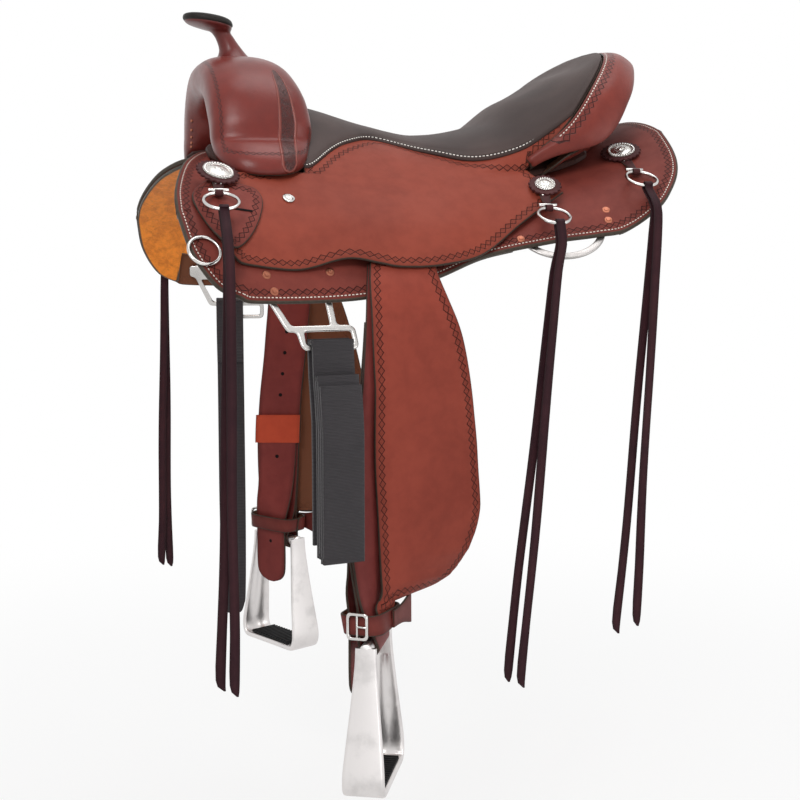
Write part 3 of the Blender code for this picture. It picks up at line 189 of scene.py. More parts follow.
def line_distance(points, line, closed=True, toward=None):
    """Distance of each point to a polyline and the length along it at the nearest spot. With toward, the
    distance is negative on the side of the line away from that direction."""
    line = np.asarray([tuple(p) for p in line], float)
    if closed:
        line = np.vstack([line, line[:1]])
    seg = line[1:] - line[:-1]
    length = np.maximum(np.linalg.norm(seg, axis=1), 1e-9)
    start = np.concatenate(([0.0], np.cumsum(length)[:-1]))
    best = np.full(len(points), 9.0)
    along = np.zeros(len(points))
    chunk = 4000
    for c in range(0, len(points), chunk):
        p = points[c:c + chunk]
        rel = p[:, None, :] - line[None, :-1, :]
        t = np.clip((rel * seg[None]).sum(2) / (length ** 2)[None], 0, 1)
        gap = np.linalg.norm(rel - t[:, :, None] * seg[None], axis=2)
        i = gap.argmin(1)
        r = np.arange(len(p))
        best[c:c + chunk] = gap[r, i]
        if toward is not None:
            away = rel[r, i] - t[r, i][:, None] * seg[i]
            best[c:c + chunk] *= np.where((away * np.array(toward)).sum(1) < 0, -1.0, 1.0)
        along[c:c + chunk] = start[i] + t[r, i] * length[i]
    return best, along


def thin(line, step=0.0015):
    """Drops points of a polyline that lie closer together than step."""
    out = [line[0]]
    for p in line[1:]:
        if (Vector(p) - Vector(out[-1])).length >= step:
            out.append(p)
    return out


def nearest_line(points, lines, widths=None):
    """Distance of each point to the nearest of several (line, toward), and the length along that line.
    widths gives shares of a line's length and what the distance is divided by there."""
    d, s = np.full(len(points), 9.0), np.zeros(len(points))
    for line, toward in lines:
        a, b = line_distance(points, line, closed=False, toward=toward)
        if widths:
            total = sum((q - p).length for p, q in zip(line, line[1:]))
            a = a / np.interp(b / total, *widths)
        pick = np.abs(a) < np.abs(d)
        d[pick], s[pick] = a[pick], b[pick]
    return d, s


def skin(count, **known):
    """What the leather shader reads at each point. What isn't given means far from any edge or line."""
    far = np.full(count, 9.0)
    return {"d": far, "s": far * 0, "rim": far, "lay": far / 9, "d2": far, "s2": far * 0, **known}


def rim_indices(ni, nj):
    ring = [j for j in range(nj)] + [i * nj + nj - 1 for i in range(1, ni)]
    return ring + [(ni - 1) * nj + j for j in range(nj - 2, -1, -1)] + [i * nj for i in range(ni - 2, 0,
                                                                                              -1)]


def shell_faces(ni, nj, flip=False):
    """Faces of a grid, of the same grid behind it, and of the rim between them."""
    m = ni * nj
    faces = []
    for a in (i * nj + j for i in range(ni - 1) for j in range(nj - 1)):
        faces += [(a, a + nj, a + nj + 1, a + 1), (m + a, m + a + 1, m + a + nj + 1, m + a + nj)]
    ring = rim_indices(ni, nj)
    faces += [(a, b, m + b, m + a) for a, b in zip(ring, ring[1:] + ring[:1])]
    return [f[::-1] for f in faces] if flip else faces


def panel(name, grid, thick, mat, centre=None, origin=None, radius=None, deco=(), edges=None):
    """Leather of even thickness on a grid of points, with rounded edges; its outer side faces away from
    the axis through centre (y, z), or from the point origin. Its mesh carries d and s, the distance to the
    border and along it, and d2 and s2, the same for tooled lines."""
    p = np.array([[tuple(q) for q in row] for row in grid], float)
    ni, nj = p.shape[:2]
    gi = np.gradient(p, axis=0)
    gj = np.gradient(p, axis=1)
    n = np.cross(gi, gj)
    n /= np.maximum(np.linalg.norm(n, axis=2, keepdims=True), 1e-12)
    if centre is not None:
        away = p - np.stack([p[:, :, 0], np.full((ni, nj), centre[0]), np.full((ni, nj), centre[1])], 2)
        if (n * away).sum() < 0:
            n = -n
    if origin is not None and (n * (p - np.array(tuple(origin)))).sum() < 0:
        n = -n
    flat = p.reshape(-1, 3)
    d, s = line_distance(flat, thin([flat[i] for i in rim_indices(ni, nj)]))
    if edges is not None:
        de, se = line_distance(flat, edges, closed=False)
    else:
        de, se = d, s
    r = radius or min(thick * 0.48, 0.0020)
    q = np.clip((r - d) / r, 0, 1)
    roundness = r * (1 - np.sqrt(np.maximum(1 - q * q, 0)))
    nf = n.reshape(-1, 3)
    outer = flat + nf * (thick - roundness)[:, None]
    inner = flat + nf * roundness[:, None]
    verts = np.vstack([outer, inner])
    m = ni * nj
    faces = shell_faces(ni, nj, flip=float((np.cross(gi, gj) * n).sum()) < 0)
    attrs = skin(2 * m, d=np.concatenate([de, de]), s=np.concatenate([se, se]), rim=np.concatenate([d, d]),
                 lay=np.concatenate([np.ones(m), np.zeros(m)]))
    if deco:
        d2, s2 = nearest_line(outer, deco)
        attrs["d2"] = np.concatenate([d2, np.full(m, 9.0)])
        attrs["s2"] = np.concatenate([s2, s2])
    return add_mesh(name, verts, faces, mat, attrs)


def tube_mesh(rings, loop=False):
    """Vertices and faces of a closed skin over rings of points: capped at its ends, or closed on itself."""
    n = len(rings[0])
    verts = [p for r in rings for p in r]
    faces = []
    span = len(rings) if loop else len(rings) - 1
    for i in range(span):
        i2 = (i + 1) % len(rings)
        for j in range(n):
            k = (j + 1) % n
            faces.append((i * n + j, i * n + k, i2 * n + k, i2 * n + j))
    if not loop:
        faces.append(tuple(range(n - 1, -1, -1)))
        last = (len(rings) - 1) * n
        faces.append(tuple(last + j for j in range(n)))
    return verts, faces


def fix_normals(ob):
    bm = bmesh.new()
    bm.from_mesh(ob.data)
    bmesh.ops.recalc_face_normals(bm, faces=bm.faces)
    bm.to_mesh(ob.data)
    bm.free()
    return ob


def loft(name, rings, mat, sharp=None, loop=False, attrs=None):
    verts, faces = tube_mesh(rings, loop=loop)
    return fix_normals(add_mesh(name, verts, faces, mat, attrs, sharp))


def strap(name, stations, mat, soft=0.0009, smoothing=5):
    """Strap with rounded edges through (centre, half width vector, half thickness vector) stations.
    Carries s along it and d to its nearer edge."""
    n = (len(stations) - 1) * smoothing + 1
    cs = [Vector(c) for c, w, t in stations]
    ws = [Vector(w) for c, w, t in stations]
    ts = [Vector(t) for c, w, t in stations]
    rings, along, across = [], [], []
    run = 0.0
    last = None
    for k in range(n):
        f = k / (n - 1)
        c, w, t = curve_point(cs, f), curve_point(ws, f), curve_point(ts, f)
        if last is not None:
            run += (c - last).length
        last = c
        hw = w.length
        ht = max(t.length, 1e-6)
        r = min(soft, ht * 0.95, hw * 0.5)
        fw = [1.0, 1.0 - 0.3 * r / hw, 1.0 - r / hw, 1.0 - 0.0040 / hw if hw > 0.006 else 0.6, 0.0]
        ft = [1.0 - r / ht, 1.0 - 0.3 * r / ht, 1.0, 1.0, 1.0]
        prof = [(fw[i], ft[i]) for i in range(5)]
        prof += [(-a, b) for a, b in reversed(prof[:-1])]
        prof += [(-a, -b) for a, b in prof]
        rings.append([c + w * a + t * b for a, b in prof])
        along += [run] * len(prof)
        across += [a * hw for a, b in prof]
    m = len(rings[0])
    hw = np.repeat([curve_point(ws, k / (n - 1)).length for k in range(n)], m)
    d = hw - np.abs(across)
    run = np.array(along)
    return loft(name, rings, mat, sharp=50, attrs=skin(len(d), d=d, s=run, rim=d + 0.0006))


def outline_plate(name, outline, holes, thick, matrix, mat, bevel=0.0007):
    """Flat outline with holes and rounded edges; its underside lies at local z = 0."""
    cu = bpy.data.curves.new(name, "CURVE")
    cu.dimensions = "2D"
    cu.fill_mode = "BOTH"
    cu.extrude = thick / 2 - bevel
    cu.bevel_depth = bevel
    cu.bevel_resolution = 3
    cu.offset = -bevel
    for ring in [outline] + list(holes):
        sp = cu.splines.new("POLY")
        sp.points.add(len(ring) - 1)
        for p, q in zip(sp.points, ring):
            p.co = (q[0], q[1], 0.0, 1.0)
        sp.use_cyclic_u = True
    tmp = bpy.data.objects.new(name + "_outline", cu)
    bpy.context.scene.collection.objects.link(tmp)
    deps = bpy.context.evaluated_depsgraph_get()
    me = bpy.data.meshes.new_from_object(tmp.evaluated_get(deps))
    bpy.data.objects.remove(tmp, do_unlink=True)
    me.transform(Matrix.Translation((0, 0, thick / 2)))
    me.transform(matrix)
    bm = bmesh.new()
    bm.from_mesh(me)
    bmesh.ops.remove_doubles(bm, verts=bm.verts, dist=0.00001)
    bmesh.ops.recalc_face_normals(bm, faces=bm.faces)
    bm.to_mesh(me)
    bm.free()
    me.shade_smooth()
    me.set_sharp_from_angle(angle=radians(35))
    me.materials.clear()
    me.materials.append(mat)
    ob = bpy.data.objects.new(name, me)
    bpy.context.scene.collection.objects.link(ob)
    return ob


def rounded(points, r, n=6):
    out = []
    m = len(points)
    for i in range(m):
        p = Vector(points[i])
        a = Vector(points[i - 1]) - p
        b = Vector(points[(i + 1) % m]) - p
        pa = p + a.normalized() * min(r, a.length * 0.45)
        pb = p + b.normalized() * min(r, b.length * 0.45)
        for k in range(n + 1):
            t = k / n
            out.append(pa * (1 - t) ** 2 + p * 2 * t * (1 - t) + pb * t * t)
    return out


def oblong(half_w, half_h, r):
    return rounded([(-half_w, -half_h), (half_w, -half_h), (half_w, half_h), (-half_w, half_h)], r)


def circle(centre, ex, ey, n):
    """n points round a centre, from ex towards ey."""
    turn = [2 * pi * k / n for k in range(n)]
    return [centre + ex * cos(a) + ey * sin(a) for a in turn]


def turned(name, profile, matrix, mat, steps=48, sharp=35):
    rings = []
    for r, z in profile:
        r = max(r, 0.00002)
        flat = circle(Vector((0, 0, z)), Vector((r, 0, 0)), Vector((0, r, 0)), steps)
        rings.append([matrix @ q for q in flat])
    return loft(name, rings, mat, sharp=sharp)


def rod(name, a, b, r, mat, n=20, soft=0.0004):
    d = (b - a).normalized()
    s = d.orthogonal().normalized()
    t = d.cross(s)
    rings = []
    for c, rr in ((a, r - soft), (a + d * soft, r), (b - d * soft, r), (b, r - soft)):
        rings.append(circle(c, s * rr, t * rr, n))
    return loft(name, rings, mat, sharp=50)


def torus(name, centre, ex, ey, big, small, mat, n=64, m=14):
    ez = ex.cross(ey) * small
    spokes = circle(Vector(), ex, ey, n)
    rings = [circle(centre + d * big, d * small, ez, m) for d in spokes]
    return loft(name, rings, mat, loop=True)


def joined(name, obs):
    """Several small meshes as one."""
    bpy.ops.object.select_all(action="DESELECT")
    for o in obs:
        o.select_set(True)
    bpy.context.view_layer.objects.active = obs[0]
    bpy.ops.object.join()
    obs[0].name = name
    return obs[0]


# Materials.
class Graph:
    """Short names for shader nodes."""

    def __init__(self, name, kind="materials"):
        self.mat = getattr(bpy.data, kind).new(name)
        self.mat.use_nodes = True
        self.t = self.mat.node_tree

    def put(self, socket, value):
        if isinstance(value, bpy.types.NodeSocket):
            self.t.links.new(value, socket)
        elif value is not None:
            if hasattr(socket.default_value, "__len__") and not hasattr(value, "__len__"):
                value = (value,) * len(socket.default_value)
            if hasattr(value, "__len__") and len(value) == 3 and len(socket.default_value) == 4:
                value = (*value, 1.0)
            socket.default_value = value

    def node(self, kind, output, inputs=(), **settings):
        """One output of a new node, with its inputs and settings filled in."""
        n = self.t.nodes.new("ShaderNode" + kind)
        for key, value in settings.items():
            setattr(n, key, value)
        for key, value in inputs:
            self.put(n.inputs[key], value)
        return n.outputs[output]

    def m(self, op, a, b=None, clamp=False):
        return self.node("Math", 0, ((0, a), (1, b)), operation=op, use_clamp=clamp)

    def mul(self, a, b):
        return self.m("MULTIPLY", a, b)

    def add(self, a, b, clamp=False):
        return self.m("ADD", a, b, clamp=clamp)

    def sub(self, a, b):
        return self.m("SUBTRACT", a, b)

    def size(self, a):
        return self.m("ABSOLUTE", a)

    def attr(self, name):
        return self.node("Attribute", "Fac", attribute_name=name)

    def coords(self):
        return self.node("TexCoord", "Object")

    def noise(self, scale, detail=3.0, rough=0.55, vec=None, distort=0.0):
        vec = self.coords() if vec is None else vec
        return self.node("TexNoise", "Fac", (("Scale", scale), ("Detail", detail), ("Roughness", rough),
                                             ("Distortion", distort), ("Vector", vec)))

    def voronoi(self, scale, vec):
        return self.node("TexVoronoi", "Distance", (("Scale", scale), ("Vector", vec)))

    def scaled(self, *factors):
        return self.node("VectorMath", 0, ((0, self.coords()), (1, factors)), operation="MULTIPLY")

    def ramp(self, value, lo, hi, a=0.0, b=1.0):
        return self.node("MapRange", "Result", (("Value", value), ("From Min", lo), ("From Max", hi),
                                                ("To Min", a), ("To Max", b)),
                         interpolation_type="SMOOTHSTEP")

    def mix(self, fac, a, b):
        return self.node("Mix", 2, (("Factor", fac), (6, a), (7, b)), data_type="RGBA")

    def bump(self, height, distance, strength):
        return self.node("Bump", "Normal", (("Strength", strength), ("Distance", distance),
                                            ("Height", height)))

    def surface(self, color, rough, metal, normal=None, sheen=None, spec=None):
        inputs = self.t.nodes["Principled BSDF"].inputs
        for key, value in (("Base Color", color), ("Roughness", rough), ("Metallic", metal),
                           ("Normal", normal), ("Sheen Weight", sheen), ("Specular IOR Level", spec)):
            self.put(inputs[key], value)
        return self.mat


def tooling(g, d, s, centre, pitch=0.0102, tall=0.0038):
    """Chain of outlined diamonds with stippled middles, along a border."""
    t = g.m("FRACT", g.m("DIVIDE", s, pitch))
    q = g.mul(g.size(g.sub(t, 0.5)), 2.0)
    v = g.m("DIVIDE", g.size(g.sub(d, centre)), tall)
    size = g.add(q, v)
    inside = g.ramp(size, 0.62, 0.84, 1.0, 0.0)
    line = g.ramp(g.size(g.sub(size, 1.0)), 0.10, 0.24, 1.0, 0.0)
    near = g.ramp(v, 1.12, 1.30, 1.0, 0.0)
    return g.mul(inside, near), g.mul(line, near)


def stitches(g, d, s, centre, pitch=0.0046, half=0.00060):
    t = g.m("FRACT", g.m("DIVIDE", s, pitch))
    dash = g.mul(g.ramp(t, 0.16, 0.26), g.ramp(t, 0.72, 0.82, 1.0, 0.0))
    v = g.size(g.sub(d, centre))
    groove = g.ramp(v, half * 1.2, half * 2.6, 1.0, 0.0)
    return g.mul(dash, g.ramp(v, half * 0.8, half * 1.25, 1.0, 0.0)), groove


def dimmed(color, factor):
    return tuple(c * factor for c in color)


FLESH = (0.16, 0.062, 0.034)
THREAD = (0.78, 0.70, 0.62)


def leather(name, light, dark, edge=(0.030, 0.021, 0.016), rough=0.50, tool=None, stitch=None, gusset=False,
            edge_w=0.0013, mottling=0.55, rubbed=0.35, spec=0.12):
    """Leather with pores, rubbed edges, tooled borders, stitches and a bare flesh side. tool and stitch are
    distances from the border; a negative tool keeps to the lines of d2 only."""
    g = Graph(name)
    co = g.coords()
    big = g.noise(9.0, 4.0, 0.6, co, 0.4)
    mid = g.noise(60.0, 4.0, 0.62, co)
    fine = g.noise(900.0, 3.0, 0.6, co)
    pores = g.voronoi(1150.0, co)
    tone = g.add(g.mul(g.ramp(big, 0.30, 0.72), mottling),
               g.mul(g.ramp(mid, 0.35, 0.70), 0.28))
    color = g.mix(tone, light, dark)
    height = g.add(g.mul(fine, 0.05), g.mul(pores, 0.09))
    height = g.add(height, g.mul(mid, 0.10))
    d, s, rim = g.attr("d"), g.attr("s"), g.attr("rim")
    rgh = g.add(g.mul(mid, 0.16), rough - 0.06)
    shade_edge = g.ramp(rim, 0.0010, 0.0090, rubbed, 0.0)
    color = g.mix(shade_edge, color, dimmed(dark, 0.42))
    if tool is not None:
        marks = []
        if tool > 0:
            marks.append(tooling(g, d, s, tool))
        small = dict(pitch=0.0075, tall=0.0024) if gusset else {}
        marks.append(tooling(g, g.attr("d2"), g.attr("s2"), 0.0, **small))
        for inside, line in marks:
            dots = g.ramp(g.voronoi(2100.0, co), 0.15, 0.5, 1.0, 0.35)
            color = g.mix(g.mul(g.mul(inside, dots), 0.48), color, dimmed(dark, 0.20))
            color = g.mix(g.mul(line, 0.88), color, dimmed(dark, 0.14))
            height = g.sub(height, g.mul(inside, 0.40))
            height = g.sub(height, g.mul(line, 1.00))
    if gusset:
        v = g.attr("d3")
        band = g.ramp(v, 0.0070, 0.0086, 1.0, 0.0)
        pits = g.ramp(g.voronoi(620.0, co), 0.25, 0.55, 1.0, 0.25)
        blotch = g.ramp(g.noise(160.0, 3.0, 0.6, co), 0.35, 0.60, 0.45, 1.0)
        pits = g.mul(pits, blotch)
        color = g.mix(g.mul(band, 0.72), color, dimmed(dark, 0.45))
        color = g.mix(g.mul(g.mul(band, pits), 0.90), color, (0.012, 0.006, 0.005))
        # Pale lines along the gusset ridges: a painted highlight in the colour, over a raised bump in the
        # height.
        ridge_and_highlight = g.ramp(g.size(g.sub(v, 0.0100)), 0.0004, 0.0020, 1.0, 0.0)
        color = g.mix(g.mul(ridge_and_highlight, 0.28), color, (0.46, 0.17, 0.13))
        height = g.add(height, g.mul(ridge_and_highlight, 1.4))
        height = g.sub(height, g.mul(g.mul(band, pits), 0.6))
    if stitch:
        dash, groove = stitches(g, d, s, stitch)
        height = g.sub(height, g.mul(groove, 0.35))
        height = g.add(height, g.mul(dash, 0.55))
        color = g.mix(g.mul(groove, 0.35), color, dimmed(dark, 0.35))
        color = g.mix(g.mul(dash, 0.92), color, THREAD)
    rim_mask = g.ramp(rim, edge_w * 0.7, edge_w * 1.3, 1.0, 0.0)
    color = g.mix(rim_mask, color, g.mix(g.noise(300.0, 2.0), edge, dimmed(edge, 2.0)))
    inner = g.mul(g.ramp(g.attr("lay"), 0.4, 0.6, 1.0, 0.0), g.sub(1.0, rim_mask))
    color = g.mix(inner, color, FLESH)
    rgh = g.add(rgh, g.mul(inner, 0.4), clamp=True)
    return g.surface(color, rgh, 0.0, g.bump(height, 0.0007, 0.85), spec=spec)


CHESTNUT = (0.262, 0.050, 0.029)
CHESTNUT_DARK = (0.180, 0.033, 0.020)
skirt_mat = leather("leather_skirt", (0.200, 0.041, 0.030), (0.115, 0.024, 0.019),
                    edge=(0.040, 0.032, 0.025), tool=0.0120, stitch=0.0058, edge_w=0.0022)
jockey_mat = leather("leather_jockey", CHESTNUT, CHESTNUT_DARK, tool=0.0085)
fender_mat = leather("leather_fender", (0.285, 0.054, 0.034), (0.190, 0.034, 0.022), tool=0.0085)
swell_mat = leather("leather_swell", (0.185, 0.028, 0.021), (0.110, 0.017, 0.014), rough=0.30, tool=-1.0,
                    gusset=True, spec=0.28)
roll_mat = leather("leather_roll", (0.215, 0.038, 0.027), (0.130, 0.023, 0.018), rough=0.34, tool=0.0105,
                   stitch=0.0040, rubbed=0.25, spec=0.2)
roll_back_mat = leather("leather_cantle_back", (0.215, 0.038, 0.027), (0.130, 0.023, 0.018), rough=0.32)
plain_mat = leather("leather_plain", (0.150, 0.032, 0.026), (0.095, 0.019, 0.017), rough=0.50)
strap_mat = leather("leather_strap", (0.200, 0.037, 0.032), (0.125, 0.022, 0.020), rough=0.50, rubbed=0.5)
keeper_mat = leather("leather_keeper", (0.480, 0.070, 0.030), (0.350, 0.046, 0.022), rough=0.48)
holder_mat = leather("leather_holder", (0.230, 0.050, 0.038), (0.140, 0.028, 0.022), tool=0.0085)
string_mat = leather("leather_string", (0.052, 0.016, 0.020), (0.028, 0.009, 0.013), rough=0.55,
                     mottling=0.8, edge=(0.014, 0.007, 0.008), rubbed=0.55)
rosette_mat = leather("leather_rosette", (0.070, 0.020, 0.020), (0.038, 0.011, 0.012), rough=0.5,
                      rubbed=0.4)
neck_mat = leather("leather_neck", (0.160, 0.030, 0.026), (0.095, 0.018, 0.017), rough=0.30, spec=0.3)


def suede_material():
    g = Graph("suede_tan")
    co = g.coords()
    nap = g.noise(240.0, 4.0, 0.7, co)
    patch = g.noise(70.0, 4.0, 0.75, co, 0.5)
    color = g.mix(g.ramp(patch, 0.35, 0.68), (0.86, 0.270, 0.026), (0.60, 0.165, 0.016))
    color = g.mix(g.ramp(nap, 0.55, 0.75, 0.0, 0.6), color, (0.26, 0.080, 0.018))
    rim = g.attr("rim")
    color = g.mix(g.ramp(rim, 0.0012, 0.0030, 1.0, 0.0), color, (0.060, 0.050, 0.036))
    height = g.add(g.mul(nap, 0.6), g.mul(g.noise(1400.0, 2.0, 0.6, co), 0.5))
    return g.surface(color, 0.92, 0.0, g.bump(height, 0.0009, 0.8), sheen=0.35, spec=0.2)


def pad_material():
    g = Graph("pad_black")
    co = g.coords()
    wave = g.noise(11.0, 3.0, 0.5, co)
    grain = g.voronoi(900.0, co)
    color = g.mix(g.ramp(wave, 0.3, 0.7), (0.066, 0.043, 0.039), (0.040, 0.027, 0.025))
    d, s = g.attr("d"), g.attr("s")
    dash, groove = stitches(g, d, s, 0.0040, pitch=0.0048, half=0.0006)
    dash = g.mul(dash, g.attr("sewn"))
    groove = g.mul(groove, g.attr("sewn"))
    color = g.mix(g.mul(groove, 0.5), color, (0.006, 0.005, 0.005))
    color = g.mix(dash, color, (0.80, 0.76, 0.70))
    height = g.add(g.mul(grain, 0.16), g.mul(g.noise(45.0, 3.0, 0.5, co), 0.25))
    height = g.sub(height, g.mul(groove, 0.9))
    height = g.add(height, g.mul(dash, 0.8))
    rough = g.add(g.mul(wave, 0.12), 0.48)
    return g.surface(color, rough, 0.0, g.bump(height, 0.0008, 0.8), spec=0.18)


def metal_material(name, color, rough, streak=0.0, axis=(1, 1, 1), engraved=False):
    g = Graph(name)
    co = g.coords()
    scr = g.noise(160.0, 4.0, 0.7, g.scaled(*axis))
    wear = g.noise(35.0, 4.0, 0.6, co)
    col = g.mix(g.ramp(wear, 0.45, 0.75, 0.0, 0.45), color, dimmed(color, 0.62))
    rgh = g.add(g.mul(scr, 0.18 + streak), rough - 0.05)
    height = g.mul(scr, 0.10 + streak)
    if engraved:
        cut = g.voronoi(620.0, co)
        height = g.add(height, g.mul(g.ramp(cut, 0.10, 0.45), 1.2))
        col = g.mix(g.ramp(cut, 0.05, 0.30, 0.75, 0.0), col, (0.035, 0.030, 0.028))
    return g.surface(col, rgh, 1.0, g.bump(height, 0.0004, 0.6))


def nylon_material():
    g = Graph("nylon_black")
    co = g.scaled(1.0, 0.0, 1.0)
    x = g.node("SeparateXYZ", "X", ((0, co),))
    z = x.node.outputs["Z"]
    a = g.m("SINE", g.mul(g.add(x, z), 2600.0))
    b = g.m("SINE", g.mul(g.sub(x, z), 2600.0))
    rows = g.m("SINE", g.mul(z, 3900.0))
    weave = g.add(g.mul(g.mul(a, b), 0.7), g.mul(rows, 0.3))
    light = g.ramp(weave, -0.6, 0.8)
    patch = g.noise(18.0, 3.0)
    color = g.mix(light, (0.012, 0.010, 0.012), (0.050, 0.042, 0.047))
    color = g.mix(g.ramp(patch, 0.35, 0.7, 0.0, 0.35), color, (0.014, 0.012, 0.014))
    fuzz = g.noise(1500.0, 2.0)
    height = g.add(weave, g.mul(fuzz, 0.5))
    return g.surface(color, 0.72, 0.0, g.bump(height, 0.0004, 0.9), sheen=0.2, spec=0.3)


def flat_material(name, color, rough):
    g = Graph(name)
    n = g.noise(400.0, 3.0)
    col = g.mix(g.ramp(n, 0.3, 0.7), color, dimmed(color, 0.6))
    return g.surface(col, rough, 0.0, g.bump(n, 0.0005, 0.3), spec=0.15)


suede_mat = suede_material()
pad_mat = pad_material()
steel_mat = metal_material("steel_satin", (0.60, 0.58, 0.56), 0.24)
chrome_mat = metal_material("steel_bright", (0.62, 0.60, 0.58), 0.16)
dull_mat = metal_material("steel_dull", (0.40, 0.38, 0.37), 0.34)
concho_mat = metal_material("concho_engraved", (0.68, 0.66, 0.63), 0.20, engraved=True)
alu_mat = metal_material("aluminium_satin", (0.72, 0.69, 0.68), 0.27, streak=0.12, axis=(6, 6, 0.6))
copper_mat = metal_material("copper_rivet", (0.34, 0.125, 0.078), 0.34)
nylon_mat = nylon_material()
rubber_mat = flat_material("rubber_black", (0.020, 0.020, 0.021), 0.70)
black_mat = flat_material("horn_rim_black", (0.022, 0.018, 0.016), 0.50)
# Near-black for punched holes, the holder's slit and the washer's hollow: painted shade where one would
# look into them.
hole_shade_mat = flat_material("hole_painted_shade", (0.006, 0.004, 0.004), 0.9)
# Near-black brown for the tree parts that show under the cantle roll and at the swell's foot: painted
# shade, to read as leather in shadow.
tree_shade_mat = flat_material("tree_painted_shade", (0.045, 0.016, 0.012), 0.6)

# The tree parts get the painted shade colour, the rest satin steel.
for node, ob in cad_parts.items():
    mat = tree_shade_mat if node.startswith("tree_") else steel_mat
    ob.data.materials.clear()
    ob.data.materials.append(mat)

# Skirts and linings.
lower_edge = table([(-0.3255, 0.235), (-0.315, 0.288), (-0.292, 0.326), (-0.265, 0.338), (-0.241, 0.341),
                    (-0.114, 0.327), (-0.03, 0.300), (0.04, 0.271), (0.12, 0.262), (0.18, 0.266),
                    (0.215, 0.269), (0.256, 0.256), (0.285, 0.236), (0.311, 0.195), (0.3235, 0.115)])
upper_edge = table([(-0.3255, 0.235), (-0.323, 0.201), (-0.311, 0.155), (-0.297, 0.118), (-0.272, 0.075),
                    (-0.235, 0.052), (-0.15, 0.045), (0.0, 0.045), (0.12, 0.045), (0.20, 0.034),
                    (0.25, 0.0075), (0.285, 0.0060), (0.308, 0.022), (0.318, 0.058), (0.3235, 0.115)])
MID_X = -0.001
HALF_X = 0.3245
NOTCHES = ((-0.2600, -0.1190, 0.286), (0.0780, 0.2040, 0.224))


def lining_edge(x):
    u = lower_edge(x) - 0.0025
    for x0, x1, top in NOTCHES:
        u = blend(u, min(u, top), smooth((x - x0 + 0.004) / 0.004) * smooth((x1 + 0.004 - x) / 0.004))
    return u


def skirt_grid(off, side, edge, inset, cols, count):
    grid = []
    for k in range(cols + 1):
        x = MID_X - HALF_X * cos(pi * k / cols)
        xi = MID_X + (x - MID_X) * (1.0 - inset / HALF_X)
        top = upper_edge(x) + inset * 0.5
        low = max(edge(x), top + 0.0015)
        if k in (0, cols):
            mid = (top + low) / 2
            top, low = mid - 0.0020, mid + 0.0020
        grid.append([barrel(xi, blend(top, low, f), off, side) for f in cluster(low - top, count=count)])
    return grid


for label, side in SIDES:
    skirt = panel("skirt_%s_leather" % label, skirt_grid(SKIRT_OFF, side, lower_edge, 0.0, 150, 24),
                  SKIRT_T, skirt_mat, centre=BACK_AXIS, radius=0.0024)
    place(skirt, "saddle", "skirt_" + label)
    lining = panel("lining_%s_suede" % label, skirt_grid(0.0002, side, lining_edge, 0.0015, 150, 16),
                   LINING_T + 0.0006, suede_mat, centre=BACK_AXIS, radius=0.0012)
    place(lining, "saddle", "lining_" + label)

# Rivets through the near and far skirts.
RIVET = [(0.0, 0.0), (0.0050, 0.0), (0.0051, 0.0004), (0.0044, 0.0011), (0.0030, 0.0013), (0.0027, 0.0011),
         (0.0024, 0.0018), (0.0, 0.0020)]
RIVETS = ((-0.232, 0.308), (-0.157, 0.298), (-0.225, 0.327), (0.199, 0.232), (0.197, 0.248), (0.083, 0.252))
for label, side in SIDES:
    heads = []
    for k, (x, u) in enumerate(RIVETS):
        m = barrel_frame(x, u, SKIRT_TOP - 0.0002, side)
        heads.append(turned("rivet_%s_%d" % (label, k), RIVET, m, copper_mat, 28))
    place(joined("rivets_" + label, heads), "saddle")

# Seat.
RIM = [(0.2650, 0.0, 0.1580), (0.2590, 0.060, 0.1540), (0.2380, 0.115, 0.1370), (0.2050, 0.1530, 0.1000),
       (0.1650, 0.1680, 0.0500), (0.1150, 0.1570, 0.0030)]
rim_pts = [(unbarrel(p[0], p[1], p[2])[0], p[0], unbarrel(p[0], p[1], p[2])[1]) for p in spline(RIM, 41)]
rim_x = table([(u, x) for u, x, o in rim_pts if u < 0.1515] + [(0.162, 0.1200), (0.176, 0.1300)], False)
rim_off = table([(u, o) for u, x, o in rim_pts if u < 0.1515] + [(0.176, 0.02)], False)
DISH_START = 0.030


def plateau(t):
    return 1.0 - smooth((abs(t) - 0.35) / 0.65)


def seat_base(x, u):
    a = abs(u)
    off = 0.0168 + 0.0245 * (1.0 - smooth((a - 0.05) / 0.25))
    off += 0.0105 * plateau((x + 0.070) / 0.135) * smooth((a - 0.17) / 0.08)
    off += 0.022 * smooth((-x - 0.03) / 0.12) * (1.0 - smooth(a / 0.13))
    return off


def sag(x, u):
    """How far the sat-in seat lies below (or its cantle side above) the frame's own surface."""
    dip = 0.0085 * plateau((x - 0.045) / 0.100)
    wall = 0.0095 * plateau((x - 0.165) / 0.070)
    return (wall - dip) * (1.0 - smooth((abs(u) - 0.03) / 0.10))


def seat_off(x, u):
    return frame_off(x, u) + sag(x, u)


def frame_off(x, u):
    a = abs(u)
    base = seat_base(x, u)
    if x < DISH_START or a > 0.165:
        return base
    xr = rim_x(a)
    t = min((x - DISH_START) / max(xr - DISH_START, 0.01), 1.04)
    rise = max(rim_off(a) - seat_base(xr, u), 0.0) * (1.0 - smooth((a - 0.1495) / 0.012))
    return base + rise * t ** 1.75


jockey_edge = table([(-0.281, 0.296), (-0.250, 0.3005), (-0.193, 0.301), (-0.139, 0.288), (-0.100, 0.2925),
                     (-0.076, 0.296), (-0.027, 0.293), (0.024, 0.278), (0.083, 0.238), (0.120, 0.216),
                     (0.150, 0.200)])
COLS = [blend(0.0, 1.0, f) for f in cluster(0.41, count=64)]


